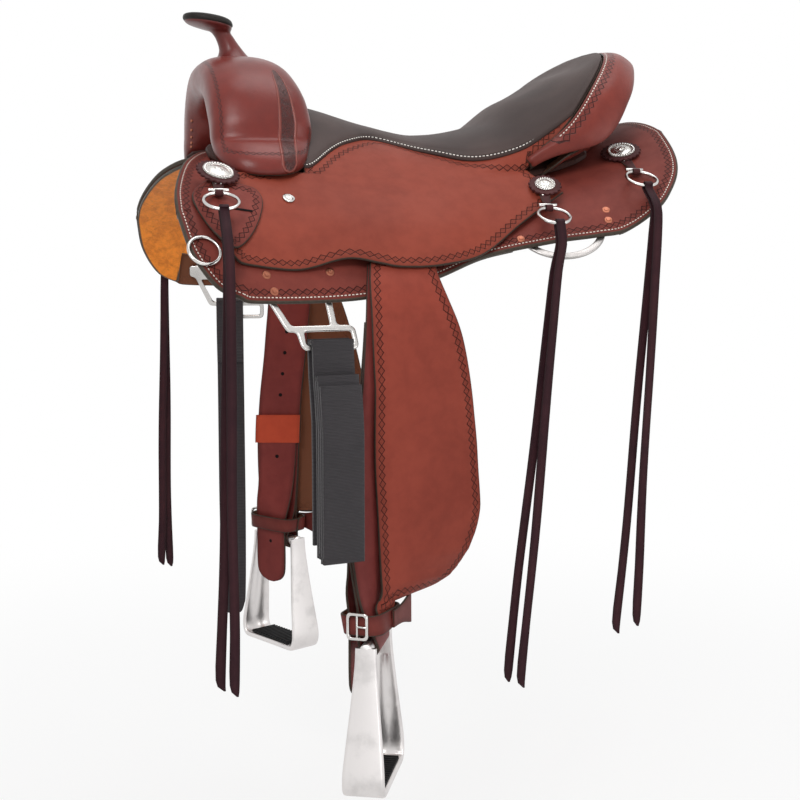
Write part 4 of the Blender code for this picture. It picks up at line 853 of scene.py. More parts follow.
def seat_half():
    rows = []
    inner = [0.162 * k / 26 for k in range(27)]
    for u in inner:
        rows.append([(blend(-0.166, rim_x(u), c), u) for c in COLS])
    for f in cluster(0.12, count=14)[3:]:
        row = []
        for c in COLS:
            x = blend(-0.2790 + 0.004 * f, 0.130 + 0.020 * f, c)
            cut = 0.020 * max(0.0, 1.0 - c * 0.41 / 0.016) ** 2
            row.append((x, blend(0.176, jockey_edge(x) - cut, f)))
        rows.append(row)
    return rows


pad_width = table([(-0.170, 0.154), (-0.156, 0.150), (-0.130, 0.113), (-0.106, 0.088), (-0.073, 0.066),
                   (-0.033, 0.100), (0.009, 0.130), (0.056, 0.1400), (0.089, 0.1370), (0.112, 0.1340)])


def pad_spot(f, s):
    u = pad_width(blend(-0.168, 0.112, s)) * f
    end = rim_x(abs(0.1340 * f)) - 0.0035
    return blend(-0.168, end, s), u


pad_lines = []
for sgn in (-1.0, 1.0):
    line = []
    for k in range(90):
        x, u = pad_spot(sgn, 0.03 + 0.93 * k / 89)
        uu = sgn * (abs(u) + 0.0105)
        line.append(barrel(x + 0.004, uu, seat_off(x, uu)))
    pad_lines.append((line, (0.0, sgn * 0.6, -0.8)))

half = seat_half()
full = [[(x, -u) for x, u in row] for row in reversed(half[1:])] + half
grid = [[barrel(x, u, seat_off(x, u) - SEAT_T) for x, u in row] for row in full]
seat = panel("seat_jockey_leather", grid, SEAT_T, jockey_mat, centre=BACK_AXIS, deco=pad_lines)
place(seat, "saddle", ("seat_leather", "ground_seat"))

# Screw in the near jockey.
SCREW_AT = (-0.193, 0.207)
m = barrel_frame(*SCREW_AT, seat_off(*SCREW_AT) + 0.0001, -1.0)
washer = [(0.0036, 0.0), (0.0070, 0.0), (0.0074, 0.0006), (0.0070, 0.0014), (0.0056, 0.0019),
          (0.0042, 0.0014), (0.0036, 0.0008)]
# The dark disc under the screw head is painted shade in the washer's hollow.
well = [(0.0, 0.0), (0.0038, 0.0), (0.0038, 0.0006), (0.0, 0.0007)]
head = [(0.0, 0.0006), (0.0025, 0.0006), (0.0025, 0.0014), (0.0019, 0.0020), (0.0008, 0.0020),
        (0.0006, 0.0012), (0.0, 0.0012)]
screw = [turned("washer", washer, m, chrome_mat, 40), turned("washer_well", well, m, hole_shade_mat, 32),
         turned("screw_head", head, m, chrome_mat, 32)]
place(joined("seat_screw", screw), "saddle")


# Padded seat.
def pad_solid():
    fs = [-1.0 + 2.0 * v for v in cluster(0.26, near=(0, 0.0004, 0.0012, 0.0026, 0.0048, 0.008, 0.012,
                                                      0.017), count=30)]
    ss = cluster(0.40, near=(0, 0.0004, 0.0012, 0.0026, 0.0048, 0.008, 0.012, 0.017), count=52)
    top, bottom = [], []
    for f in fs:
        rt, rb = [], []
        for s in ss:
            x, u = pad_spot(f, s)
            width = pad_width(blend(-0.168, 0.112, s))
            lift = PAD_GAP + 0.0032 * smooth((s - 0.35) / 0.25)
            de = min((1.0 - abs(f)) * width, (1.0 - s) * 0.40)
            e = min(1.0, de / 0.015)
            shoulder = 0.0028 + 0.0025 * smooth((s - 0.40) / 0.30)
            crown = 0.0085 * (1.0 - abs(f) ** 2.5) * (1.0 - smooth((s - 0.45) / 0.45))
            rise = 0.0020 * min(1.0, de / 0.0015) ** 0.5 + shoulder * sqrt(max(e * (2.0 - e), 0.0)) + crown
            seam = 0.0012 * max(0.0, 1.0 - abs(de - 0.0046) / 0.0018)
            off = seat_off(x, u)
            rb.append(barrel(x, u, off + 0.0004))
            rt.append(barrel(x, u, off + lift * 0.5 + rise - seam))
        top.append(rt)
        bottom.append(rb)
    nr, nc = len(fs), len(ss)
    p = np.array([[tuple(q) for q in row] for row in top], float)
    flat = p.reshape(-1, 3)
    sewn_rim = rim_indices(nr, nc)[:2 * nc + nr - 2]
    d, s = line_distance(flat, thin([flat[i] for i in sewn_rim]), closed=False)
    verts = [q for row in top for q in row] + [q for row in bottom for q in row]
    faces = shell_faces(nr, nc)
    sewn = np.tile([1.0 - smooth((s1 - 0.83) / 0.01) for s1 in ss], 2 * nr)
    return fix_normals(add_mesh("seat_cushion", verts, faces, pad_mat, {"d": np.concatenate([d, d * 0]),
                                                                        "s": np.concatenate([s, s]),
                                                                        "sewn": sewn}))


cushion = place(pad_solid(), "saddle", "seat_pad")

# Swell cover.
SWELL_OUT = [Vector(p) for p in ((0.0, 0.1335), (0.045, 0.132), (0.09, 0.119), (0.128, 0.091),
                                 (0.1460, 0.057), (0.1500, 0.033), (0.1540, 0.004))]
SWELL_IN = [Vector(p) for p in ((0.0, 0.0875), (0.035, 0.085), (0.065, 0.071), (0.083, 0.049),
                                (0.0930, 0.036), (0.1000, 0.029), (0.1136, 0.0219))]
SWELL_X = [Vector(p) for p in ((-0.268, -0.176), (-0.267, -0.174), (-0.266, -0.166), (-0.265, -0.157),
                               (-0.264, -0.153), (-0.264, -0.154), (-0.262, -0.163))]
LIPS = ((0.0, 0.0), (0.0125, 0.0025), (0.0335, -0.0125), (0.0330, -0.0175))
FLARE_FROM = 0.84
RING_N = 56


def swell_at(t, side, grow, spread=None):
    """Rounded cross-section of the arch at t (0 middle .. 1 foot), grown outward."""
    so, si, sx = curve_point(SWELL_OUT, t), curve_point(SWELL_IN, t), curve_point(SWELL_X, t)
    o = Vector((0, so.x * side, so.y))
    i = Vector((0, si.x * side, si.y))
    centre = (o + i) / 2 + Vector(((sx.x + sx.y) / 2, 0, 0))
    hv = (o - i) / 2
    hv = hv * (1 + grow / hv.length)
    hx = (sx.y - sx.x) / 2 + grow
    ring = []
    for j in range(RING_N):
        a = 2 * pi * j / RING_N
        ca, sa = cos(a), sin(a)
        p = centre + Vector((hx * abs(ca) ** 0.72 * (1 if ca > 0 else -1), 0, 0))
        p = p + hv * abs(sa) ** 0.72 * (1 if sa > 0 else -1)
        if spread is not None:
            p = p + Vector((0, spread[0] * side, spread[1])) * max(sa, 0.0) ** 1.3
        ring.append(p)
    return ring


def swell_family(grow):
    stations = []
    lips = [Vector((a, b)) for a, b in LIPS]
    for k in range(49):
        t = k / 48
        q = curve_point(lips, smooth((t - FLARE_FROM) / (1.0 - FLARE_FROM)) ** 1.6)
        stations.append((0.985 * t + 0.015 * smooth((t - 0.9) / 0.1), (q.x, q.y)))
    rings = [swell_at(t, -1.0, grow, sp) for t, sp in reversed(stations)]
    rings += [swell_at(t, 1.0, grow, sp) for t, sp in stations[1:]]
    return rings


outer_rings = swell_family(COVER_GAP + COVER_T)
inner_rings = swell_family(COVER_GAP)
rings = inner_rings + outer_rings[::-1]
verts, faces = tube_mesh(rings, loop=True)
pts = np.array([tuple(p) for p in verts], float)
border_lines, gussets = [], []
FRONT_AT, REAR_AT, GUSSET_AT = 0.405, 0.085, 0.205
middle = len(outer_rings) // 2
front, rear, gusset = [int(RING_N * share) for share in (FRONT_AT, REAR_AT, GUSSET_AT)]
for side_rings in (outer_rings[middle::-1], outer_rings[middle:]):
    line = [r[front] for r in side_rings[4:-3]]
    line += [side_rings[-4][j] for j in range(front - 1, rear, -1)]
    line += [r[rear] for r in side_rings[-6:-14:-1]]
    border_lines.append((line, None))
    gussets.append(([r[gusset] for r in side_rings[int(len(side_rings) * 0.40):-2]], None))
d2, s2 = nearest_line(pts, border_lines)
d3 = nearest_line(pts, gussets, ((0.0, 0.12, 0.55, 1.0), (0.25, 0.55, 1.0, 0.92)))[0]
rim = np.minimum(line_distance(pts, outer_rings[0])[0], line_distance(pts, outer_rings[-1])[0])
swell = add_mesh("swell_cover_leather", verts, faces, swell_mat,
                 skin(len(pts), d=rim, rim=rim, d2=d2, s2=s2, d3=d3))
fix_normals(swell)
place(swell, "saddle", ("swell_cover", "tree_fork"))
LACE = [(0.0, -0.0012), (0.0019, -0.0012), (0.0018, 0.0008), (0.0, 0.0014)]
lace_turn = Vector((-0.75, -0.6, 0.1)).normalized().to_track_quat("Z", "Y").to_matrix().to_4x4()
lace = []
for k in range(5):
    q = outer_rings[middle + 20 + k * 4][int(RING_N * 0.60)]
    lace.append(turned("lace_%d" % k, LACE, Matrix.Translation(q) @ lace_turn, copper_mat, 16))
place(joined("swell_lacing", lace), "saddle")

# Horn.
NECK = [(-0.2150, 0.1330, 0.0300, 0), (-0.2195, 0.1375, 0.0235, 0), (-0.2212, 0.1430, 0.0185, 0),
        (-0.2235, 0.1500, 0.0148, 0), (-0.2280, 0.1590, 0.0127, 2), (-0.2325, 0.1665, 0.0123, 4),
        (-0.2370, 0.1712, 0.0140, 7), (-0.2440, 0.1745, 0.0205, 7), (-0.2495, 0.1775, 0.0270, 7),
        (-0.2515, 0.1800, 0.0295, 7), (-0.2520, 0.1835, 0.0296, 7)]
RIMS = [(-0.2516, 0.1808, 0.0270, 7), (-0.2517, 0.1812, 0.0302, 7), (-0.2520, 0.1832, 0.0314, 7),
        (-0.2523, 0.1855, 0.0312, 7), (-0.2525, 0.1880, 0.0300, 7), (-0.2525, 0.1895, 0.0275, 7),
        (-0.2524, 0.1902, 0.0240, 7), (-0.2524, 0.1903, 0.0120, 7), (-0.2524, 0.1903, 0.0002, 7)]


def horn_rings(rows, n=48, steps=6):
    pts = [Vector((a, b, r)) for a, b, r, t in rows]
    tilts = [Vector((t, 0, 0)) for a, b, r, t in rows]
    out = []
    total = (len(rows) - 1) * steps
    for k in range(total + 1):
        q = curve_point(pts, k / total)
        tilt = radians(curve_point(tilts, k / total).x)
        ex = Vector((cos(tilt), 0, -sin(tilt)))
        out.append(circle(Vector((q.x, 0, q.y)), ex * q.z, Vector((0, q.z, 0)), n))
    return out


rings = horn_rings(NECK)
neck = loft("horn_neck", rings, neck_mat, attrs=skin(len(rings) * 48))
rings = horn_rings(RIMS)
cap = loft("horn_cap_rim", rings, black_mat, attrs=skin(len(rings) * 48))
place(neck, "saddle", "horn")
place(cap, "saddle")

# Cantle roll and back.
ROLL_T = 0.0045
ROLL_EDGE = [(0.3060, 0.0, 0.1490), (0.3020, 0.055, 0.1440), (0.2840, 0.108, 0.1270),
             (0.2560, 0.1560, 0.0900), (0.2150, 0.1740, 0.0360), (0.1340, 0.1690, -0.0010)]
HALF = 60
half_in, half_out = spline(RIM, HALF + 1), spline(ROLL_EDGE, HALF + 1)


def mirrored(points):
    return [Vector((p.x, -p.y, p.z)) for p in reversed(points[1:])] + list(points)


roll_in, roll_out = mirrored(half_in), mirrored(half_out)
section = [Vector(p) for p in ((0.0, 0.0), (0.12, 0.0022), (0.5, 0.0060), (0.88, 0.0022), (1.0, -0.0020))]
raise_end = table([(0.0, 0.0115), (6.0, 0.0065), (12.0, 0.0025), (18.0, 0.0), (400.0, 0.0)], False)
grid = []
for i, (a, b) in enumerate(zip(roll_in, roll_out)):
    raised = raise_end(min(i, len(roll_in) - 1 - i))
    away = (b - a).normalized()
    w = smooth((abs(a.y) - 0.060) / 0.040)
    s = 1.0 if a.y > 0 else -1.0
    lift = Vector((blend(0.25, 0.15, w), 0.6 * s * w, blend(1.0, 0.7, w)))
    lift = (lift - away * lift.dot(away)).normalized()
    end = smooth(min(i, len(roll_in) - 1 - i) / 11.0)
    width = (b - a).length * 0.97 * blend(0.30, 1.0, end)
    raised = blend(0.0015, raised, end)
    row = []
    for f in cluster(width, count=10):
        q = curve_point(section, f)
        row.append(a + away * (0.0010 + width * q.x) + lift * (q.y - 0.0030 + raised))
    grid.append(row)
inner_line = [row[0] for row in grid]
roll = panel("cantle_roll_leather", grid, ROLL_T, roll_mat, edges=inner_line[9:-9],
             origin=(0.10, 0.0, -0.10))
place(roll, "saddle", "cantle_roll")

BACK_T = 0.0035
BACK_LINE = [(0.2560, 0.0), (0.2520, 0.045), (0.2340, 0.085), (0.2050, 0.112), (0.1720, 0.130),
             (0.1300, 0.140)]
back_x = table([(u, x) for x, u in BACK_LINE], True)
grid = []
for a, b in zip(roll_in, roll_out):
    top = a + (b - a) * 0.70 - Vector((0, 0, 0.0030))
    u_in = unbarrel(a.x, a.y, a.z)[0] * (1 if a.y > 0 else -1)
    u_low = max(min(u_in * 1.04, 0.150), -0.150)
    bottom = barrel(back_x(min(abs(u_low), 0.140)) + 0.003, u_low, 0.0150)
    grid.append([top + (bottom - top) * f for f in cluster((bottom - top).length, count=8)])
back = panel("cantle_back_leather", grid[6:-6], BACK_T, roll_back_mat, origin=(0.10, 0.0, -0.02))
place(back, "saddle", ("cantle_back", "tree_cantle"))

# Latigo holder on the near side.
HOLDER = [(-0.250, 0.197), (-0.233, 0.201), (-0.226, 0.216), (-0.232, 0.240), (-0.247, 0.268),
          (-0.266, 0.284), (-0.286, 0.270), (-0.300, 0.240), (-0.306, 0.218), (-0.300, 0.202),
          (-0.280, 0.197)]
HOLDER_TOP = 0.1972
HOLDER_LOW = 0.2838
HOLDER_GAP = 0.0012
HOLDER_T = 0.0035
HOLDER_SLOT = (-0.254, 0.235)
loop = spline(HOLDER + HOLDER[:1], 200)[:-1]
grid = []
for k in range(41):
    u = blend(HOLDER_TOP, HOLDER_LOW, (1 - cos(pi * k / 40)) / 2)
    xs = []
    for a, b in zip(loop, loop[1:] + loop[:1]):
        if (a.y - u) * (b.y - u) <= 0 and a.y != b.y:
            xs.append(a.x + (b.x - a.x) * (u - a.y) / (b.y - a.y))
    x0, x1 = min(xs), max(xs)
    if x1 - x0 < 0.003:
        x0, x1 = (x0 + x1) / 2 - 0.0015, (x0 + x1) / 2 + 0.0015
    row = []
    for f in cluster(x1 - x0, count=10):
        x = blend(x0, x1, f)
        over_jockey = seat_base(max(x, -0.279), u) + HOLDER_GAP
        row.append(barrel(x, u, blend(0.0135, over_jockey, smooth((x + 0.303) / 0.020)), -1.0))
    grid.append(row)
holder = panel("latigo_holder_leather", grid, HOLDER_T, holder_mat, centre=BACK_AXIS)
place(holder, "saddle", "latigo_holder")
# The slit is a thin near-black plate: painted shade in the slot.
m = barrel_frame(*HOLDER_SLOT, seat_base(*HOLDER_SLOT) + HOLDER_GAP + HOLDER_T + 0.0001, -1.0)
slit = outline_plate("holder_slot", oblong(0.0140, 0.0016, 0.0015), [], 0.0006, m, hole_shade_mat, bevel=0.0002)
place(slit, "saddle")

# Rigging plates and dees.
PLATE_OUT = [(-0.240, 0.300), (-0.124, 0.300), (-0.124, 0.318), (-0.1525, 0.321), (-0.1525, 0.3625),
             (-0.138, 0.3625), (-0.131, 0.367), (-0.131, 0.388), (-0.135, 0.3925), (-0.194, 0.3925),
             (-0.199, 0.388), (-0.2015, 0.3695), (-0.210, 0.3695), (-0.2135, 0.366), (-0.232, 0.320),
             (-0.240, 0.318)]
PLATE_AT = (-0.188, 0.318)
PLATE_HOLES = [[(-0.2235, 0.3235), (-0.160, 0.3235), (-0.160, 0.3625), (-0.2065, 0.3625)],
               [(-0.1935, 0.3695), (-0.1365, 0.3695), (-0.1365, 0.3865), (-0.1935, 0.3865)]]


def local(points):
    return [(x + 0.182, u - PLATE_AT[1]) for x, u in points]


for label, side in SIDES:
    m = level_frame(*PLATE_AT, 0.0013, side)
    holes = [rounded(local(h), 0.004) for h in PLATE_HOLES]
    plate = outline_plate("rigging_%s_steel" % label, rounded(local(PLATE_OUT), 0.005), holes, 0.0040, m,
                          steel_mat, 0.0016)
    place(plate, "saddle", "rigging_plate_" + label)
    arc = [pi * k / 40 for k in range(41)]
    outer = [(0.056, -0.006)] + [(0.056 * cos(a), 0.050 * sin(a)) for a in arc] + [(-0.056, -0.006)]
    inner = [(0.047, 0.001)] + [(0.047 * cos(a), 0.041 * sin(a)) for a in arc[1:-1]] + [(-0.047, 0.001)]
    dee = outline_plate("rear_dee_%s_steel" % label, outer, [inner], 0.0036,
                        barrel_frame(0.140, 0.238, 0.0012, side), dull_mat, 0.0015)
    place(dee, "saddle", "rear_dee_" + label)
m = barrel_frame(-0.300, 0.288, SKIRT_TOP + 0.0024, -1.0)
ex, down = m.to_3x3() @ Vector((1, 0, 0)), m.to_3x3() @ Vector((0, 1, 0))
ring = torus("front_dee_steel", m.translation, ex, down, 0.0177, 0.0019, chrome_mat)
place(ring, "saddle", "front_dee_left")

# Conchos, clips, rings and strings.
RING_R = 0.0193
RING_WIRE = 0.0020
RING_DIP = radians(28)
STAR_T = 0.0028
STRING_T = 0.0023
STRING_HALF = 0.0056
STRING_LOOP = 0.0029
POSTS = {
    "front": dict(concho=(-0.2736, 0.1880, 0.0330, 0.0302), big=True, bar=(-0.2775, 0.2405, -0.0368),
                  tips=((-0.293, -0.585), (-0.280, -0.590)), hang=0.3090, edge_z=-0.150),
    "mid": dict(concho=(0.1277, 0.1898, 0.0298, 0.0298), big=False, bar=(0.1186, 0.2319, -0.0510),
                tips=((0.056, -0.618), (0.072, -0.624)), hang=0.2730, edge_z=-0.125),
    "rear": dict(concho=(0.2537, 0.1379, OVER_SKIRT + 0.0018, OVER_SKIRT + 0.0018), big=True,
                 bar=(0.2506, 0.1915, -0.0050), tips=((0.207, -0.575), (0.229, -0.565)), hang=0.2560,
                 edge_z=-0.080),
}
wave_rng = np.random.RandomState(7)


def rope_edge(name, lift, radius, count):
    """Small slanted beads round a concho."""
    verts, faces = [], []
    for b in range(count):
        a = 2 * pi * b / count
        c = lift @ Vector((radius * 0.88 * cos(a), radius * 0.88 * sin(a), 0.0019))
        ex = (lift.to_3x3() @ Vector((cos(a + 0.85), sin(a + 0.85), 0))) * radius * 0.125
        ey = (lift.to_3x3() @ Vector((-sin(a + 0.85), cos(a + 0.85), 0))) * radius * 0.072
        ez = (lift.to_3x3() @ Vector((0, 0, 1))) * 0.0012
        first = len(verts)
        for i in range(1, 6):
            t = pi * i / 6
            for j in range(10):
                q = 2 * pi * j / 10
                verts.append(c + ex * cos(t) + ey * sin(t) * cos(q) + ez * sin(t) * sin(q))
        for i in range(first, first + 40, 10):
            for j in range(10):
                k = (j + 1) % 10
                faces.append((i + j, i + k, i + 10 + k, i + 10 + j))
        faces.append(tuple(first + j for j in range(9, -1, -1)))
        faces.append(tuple(first + 40 + j for j in range(10)))
    return fix_normals(add_mesh(name, verts, faces, chrome_mat))


def rosette_star(name, frame_at, radius, lobes):
    star = []
    for k in range(lobes * 8):
        a = 2 * pi * k / (lobes * 8)
        r = radius * (0.955 + 0.045 * cos(a * lobes))
        star.append((r * cos(a), r * sin(a)))
    ob = outline_plate(name, star, [], STAR_T, frame_at, rosette_mat, 0.0009)
    for key, val in skin(len(ob.data.vertices)).items():
        a = ob.data.attributes.new(key, "FLOAT", "POINT")
        a.data.foreach_set("value", val.astype(np.float32))
    return ob


def concho(tag, lift, radius, beads):
    """Domed, engraved concho with its rope edge, as a list of metal pieces."""
    steps = ((0.97, 0.0), (0.99, 0.0010), (0.80, 0.0016), (0.74, 0.0013), (0.66, 0.0022), (0.45, 0.0034),
             (0.30, 0.0037), (0.26, 0.0033), (0.20, 0.0046))
    dome = [(0.0, 0.0)] + [(radius * r, z) for r, z in steps] + [(0.0, 0.0051)]
    return [turned("concho_%s_dome" % tag, dome, lift, concho_mat, 48),
            rope_edge("concho_%s_beads" % tag, lift, radius, beads)]


def clip(tag, f, hinge, slope, reach, under):
    """Leather tongue and eye from a rosette to its ring, and the metal rail and dots on them."""
    ex = Vector((1, 0, 0))
    head = f @ Vector((0, -0.0050, under))
    bend = f @ Vector((slope * 0.6, reach, under))
    toward = bend - hinge
    toward = (toward - ex * toward.dot(ex)).normalized()
    end = hinge + toward * 0.0039
    flat = f.to_3x3() @ Vector((0, 0, 0.0007))
    along = (bend - end).normalized()
    flat_end = ex.cross(along).normalized() * 0.0007
    if flat_end.dot(flat) < 0:
        flat_end = -flat_end
    fx = f.to_3x3() @ Vector((1, 0, 0))
    tongue = strap("clip_%s_tongue" % tag,
                   [(head, fx * 0.0070, flat), (bend, fx * 0.0065, (flat + flat_end) / 2),
                    (end, ex * 0.0042, flat_end)], rosette_mat, smoothing=4)
    n_eye = 20
    up = ex.cross(toward)
    rings = [circle(hinge + ex * x, toward * r, up * r, n_eye)
             for x, r in ((-0.0042, 0.0029), (0.0042, 0.0029), (0.0042, 0.0041), (-0.0042, 0.0041))]
    eye = loft("clip_%s_eye" % tag, rings, rosette_mat, sharp=40, loop=True, attrs=skin(4 * n_eye))
    bar_c = end + along * 0.0022
    metal = [rod("clip_%s_rail" % tag, bar_c - ex * 0.0115, bar_c + ex * 0.0115, 0.0021, chrome_mat)]
    dot = [(0.0, 0.0), (0.0013, 0.0), (0.0011, 0.0008), (0.0, 0.0011)]
    for q in (-0.0030, 0.0030):
        spot = Matrix.Translation(bend + ex * q + flat * 1.1)
        spot = spot @ flat.to_track_quat("Z", "Y").to_matrix().to_4x4()
        metal.append(turned("clip_%s_dot" % tag, dot, spot, chrome_mat, 14))
    return [tongue, eye], metal


def string_leg(wire, spec, tip, depth, phase):
    """Places (height, distance out, x) along one leg of a string, from its ring to its tip."""
    out = abs(wire.y) + depth
    hang, edge_z = spec["hang"] + depth, spec["edge_z"]
    tip_x, tip_z = tip
    start_x = blend(wire.x, tip_x, 0.12)
    line = [(wire.z - 0.004, out, wire.x),
            (blend(wire.z, edge_z, 0.45), blend(out, hang, 0.75), wire.x), (edge_z, hang, start_x)]
    for q in (0.12, 0.24, 0.36, 0.48, 0.60, 0.72, 0.84, 0.97):
        sway = 0.0014 * sin(phase + q * 9.0) * q
        line.append((blend(edge_z, tip_z, q), hang, blend(start_x, tip_x, q) + sway))
    return line + [(tip_z, hang, tip_x + 0.0035)]


def saddle_string(name, wire, spec, side):
    """String folded over its ring's wire, with both legs hanging down."""
    ex = Vector((1, 0, 0))
    mid_r = STRING_LOOP + STRING_T / 2
    phase = float(wave_rng.uniform(0, 6))
    tip_a, tip_b = spec["tips"]
    outer_leg = string_leg(wire, spec, tip_b, mid_r, phase)
    inner_leg = string_leg(wire, spec, tip_a, -mid_r, phase + 2.0)
    stations = []
    for k, (z, y, x) in enumerate(outer_leg[::-1]):
        w = 0.0012 if k == 0 else STRING_HALF
        twist = 0.0 if k in (0, 1) else 0.0007 * sin(phase + k)
        stations.append((Vector((x, y * side, z)), Vector((w, twist * side, 0)),
                         Vector((0, -side * STRING_T / 2, 0))))
    for k in range(1, 8):
        a = pi * k / 8
        c = wire + Vector((0, side * mid_r * cos(a), mid_r * sin(a)))
        stations.append((c, ex * 0.0052, Vector((0, -side * cos(a), -sin(a))) * STRING_T / 2))
    for k, (z, y, x) in enumerate(inner_leg):
        w = 0.0012 if k == len(inner_leg) - 1 else STRING_HALF
        stations.append((Vector((x, y * side, z)), ex * w, Vector((0, side * STRING_T / 2, 0))))
    return strap(name, stations, string_mat, smoothing=3)


for post, spec in POSTS.items():
    cx, cu, base_left, base_right = spec["concho"]
    big = spec["big"]
    star_r = 0.0255 if big else 0.0205
    for label, side in SIDES:
        tag = "%s_%s" % (post, label)
        f = barrel_frame(cx, cu, base_left if side < 0 else base_right, side)
        rosette = rosette_star("rosette_%s_leather" % tag, f, star_r, 22 if big else 18)
        parts = concho(tag, f @ Matrix.Translation((0, 0, STAR_T)), 0.0180 if big else 0.0125,
                       30 if big else 24)
        bx, by, bz = spec["bar"]
        hinge = Vector((bx, by * side, bz))
        dip = Vector((0, side * cos(RING_DIP), -sin(RING_DIP)))
        bits, metal = clip(tag, f, hinge, bx - cx, star_r - 0.002, -0.0010 if big else -0.0002)
        metal = joined("concho_%s_metal" % tag, parts + metal)
        bits = joined("concho_%s_clip" % tag, bits)
        place(metal, "saddle", "concho_" + tag)
        place(bits, "saddle")
        place(rosette, "saddle", "rosette_" + tag if big else None)
        ring = torus("ring_%s_wire" % tag, hinge + dip * RING_R, Vector((1, 0, 0)), dip, RING_R, RING_WIRE,
                     chrome_mat)
        place(ring, "%s_ring_%s" % (post, label), "ring_" + tag)
        if (post, label) != ("rear", "right"):
            string = saddle_string("string_%s_leather" % tag, hinge + dip * RING_R * 2, spec, side)
            place(string, "%s_strings_%s" % (post, label), "string_" + tag)

# Fenders, stirrup leathers, hobble straps and stirrups.
STRAP_W = 0.032
STRAP_T = 0.0035
STIRRUP_BAR = 0.0080
BAR_GAP = 0.0010
FENDER_T = 0.0040
PLY_GAP = 0.0003
LOOP_R = STIRRUP_BAR + BAR_GAP + STRAP_T / 2
BAR_Z = -0.547
TAIL_Z = -0.5200
HOBBLE_W = 0.0393
HOBBLE_D = 0.0222
HOBBLE_T = 0.0030
PATH = [(-0.0800, 0.2542, -0.1168), (-0.0880, 0.2775, -0.1510), (-0.0930, 0.2880, -0.1850),
        (-0.1000, 0.2850, -0.2550), (-0.1120, 0.2785, -0.3550), (-0.1150, 0.2765, -0.4550),
        (-0.1130, 0.2850, BAR_Z)]
TWIST = table([(BAR_Z, 64.0), (-0.485, 42.0), (-0.405, 22.0), (-0.255, 21.0), (-0.185, 8.0), (-0.115, 0.0)],
              False)
FENDER_TWIST = table([(-0.560, 52.0), (-0.515, 42.0), (-0.485, 28.0), (-0.455, 20.0), (-0.405, 15.0),
                      (-0.305, 13.0), (-0.255, 12.0), (-0.185, 7.0), (-0.115, 0.0)], False)
path_line = spline(PATH, 61)


def path_frame(z, side, twist):
    """Middle of the stirrup leather at height z, and its directions: across, outward and along."""
    i = 0
    while i < len(path_line) - 2 and path_line[i + 1].z > z:
        i += 1
    a, b = path_line[i], path_line[i + 1]
    c = a + (b - a) * (z - a.z) / (b.z - a.z)
    t = (path_line[min(i + 3, len(path_line) - 1)] - path_line[max(i - 2, 0)]).normalized()
    c = Vector((c.x, c.y * side, c.z))
    t = Vector((0.0, t.y * side * smooth((z - BAR_Z) / 0.09), t.z)).normalized()
    ex = Vector((1, 0, 0))
    n0 = ex.cross(t)
    if n0.y * side < 0:
        n0 = -n0
    n0.normalize()
    a = radians(twist)
    return c, ex * cos(a) - n0 * sin(a), n0 * cos(a) + ex * sin(a), t


def leather_spread(z):
    """Half the distance between the two plies of a stirrup leather."""
    return blend(PLY_GAP + STRAP_T / 2, LOOP_R, smooth((-0.500 - z) / 0.047))


def tail_spot(z, side):
    """As path_frame, for the leather's loose end, with its depth behind the leather."""
    zz = max(z, TAIL_Z)
    c, e, n, t = path_frame(zz, side, min(TWIST(zz), 62.0))
    depth = -(PLY_GAP + STRAP_T) - 0.0032 - 0.0105 * smooth((-0.440 - z) / 0.070)
    return c, e, n, depth, Vector((0, 0, z - zz))


FENDER_REAR = table([(-v, w) for v, w in ((0.1120, 0.046), (0.1320, 0.052), (0.1580, 0.066),
                                          (0.1910, 0.084), (0.2390, 0.102), (0.2890, 0.119),
                                          (0.3370, 0.134), (0.3960, 0.146), (0.4300, 0.147),
                                          (0.4570, 0.139), (0.4800, 0.128), (0.4950, 0.106),
                                          (0.5000, 0.072), (0.5035, 0.036), (0.5080, 0.028),
                                          (0.5170, 0.022), (0.5220, 0.012))][::-1])
FENDER_FRONT = table([(-0.5220, -0.004), (-0.5160, -0.010), (-0.5080, -0.008), (-0.5020, 0.002),
                      (-0.4900, 0.008), (-0.4540, 0.008), (-0.3800, 0.002), (-0.2790, -0.014),
                      (-0.2090, -0.024), (-0.1430, -0.030), (-0.1120, -0.030)])
FENDER_Z = [-0.1130 - 0.0058 * k for k in range(61)] + [-0.4690 - 0.0012 * k for k in range(45)]
FENDER_Z = [z for z in FENDER_Z if z >= -0.5220]
LEGS = [-0.1180, -0.1350, -0.1550, -0.1800, -0.2200, -0.2700, -0.3300, -0.3900, -0.4300, -0.4650, -0.4950,
        -0.5150, -0.5300]


def fender_grid(side):
    grid = []
    for z in FENDER_Z:
        c, e, n, t = path_frame(z, side, FENDER_TWIST(z))
        w0, w1 = FENDER_FRONT(z), FENDER_REAR(z)
        slack = sin(radians(max(TWIST(z) - FENDER_TWIST(z), 0.0))) * min(STRAP_W, max(0.0, -w0))
        tail_up = 0.0014 * smooth((-0.470 - z) / 0.025)
        off = leather_spread(z) + STRAP_T / 2 + 0.0013 + slack * 1.15 + tail_up
        row = []
        for f in cluster(w1 - w0, count=14):
            bow = 0.0020 * sin(pi * f) * smooth((-0.15 - z) / 0.1)
            row.append(c + e * blend(w0, w1, f) + n * (off + bow))
        grid.append(row)
    return grid


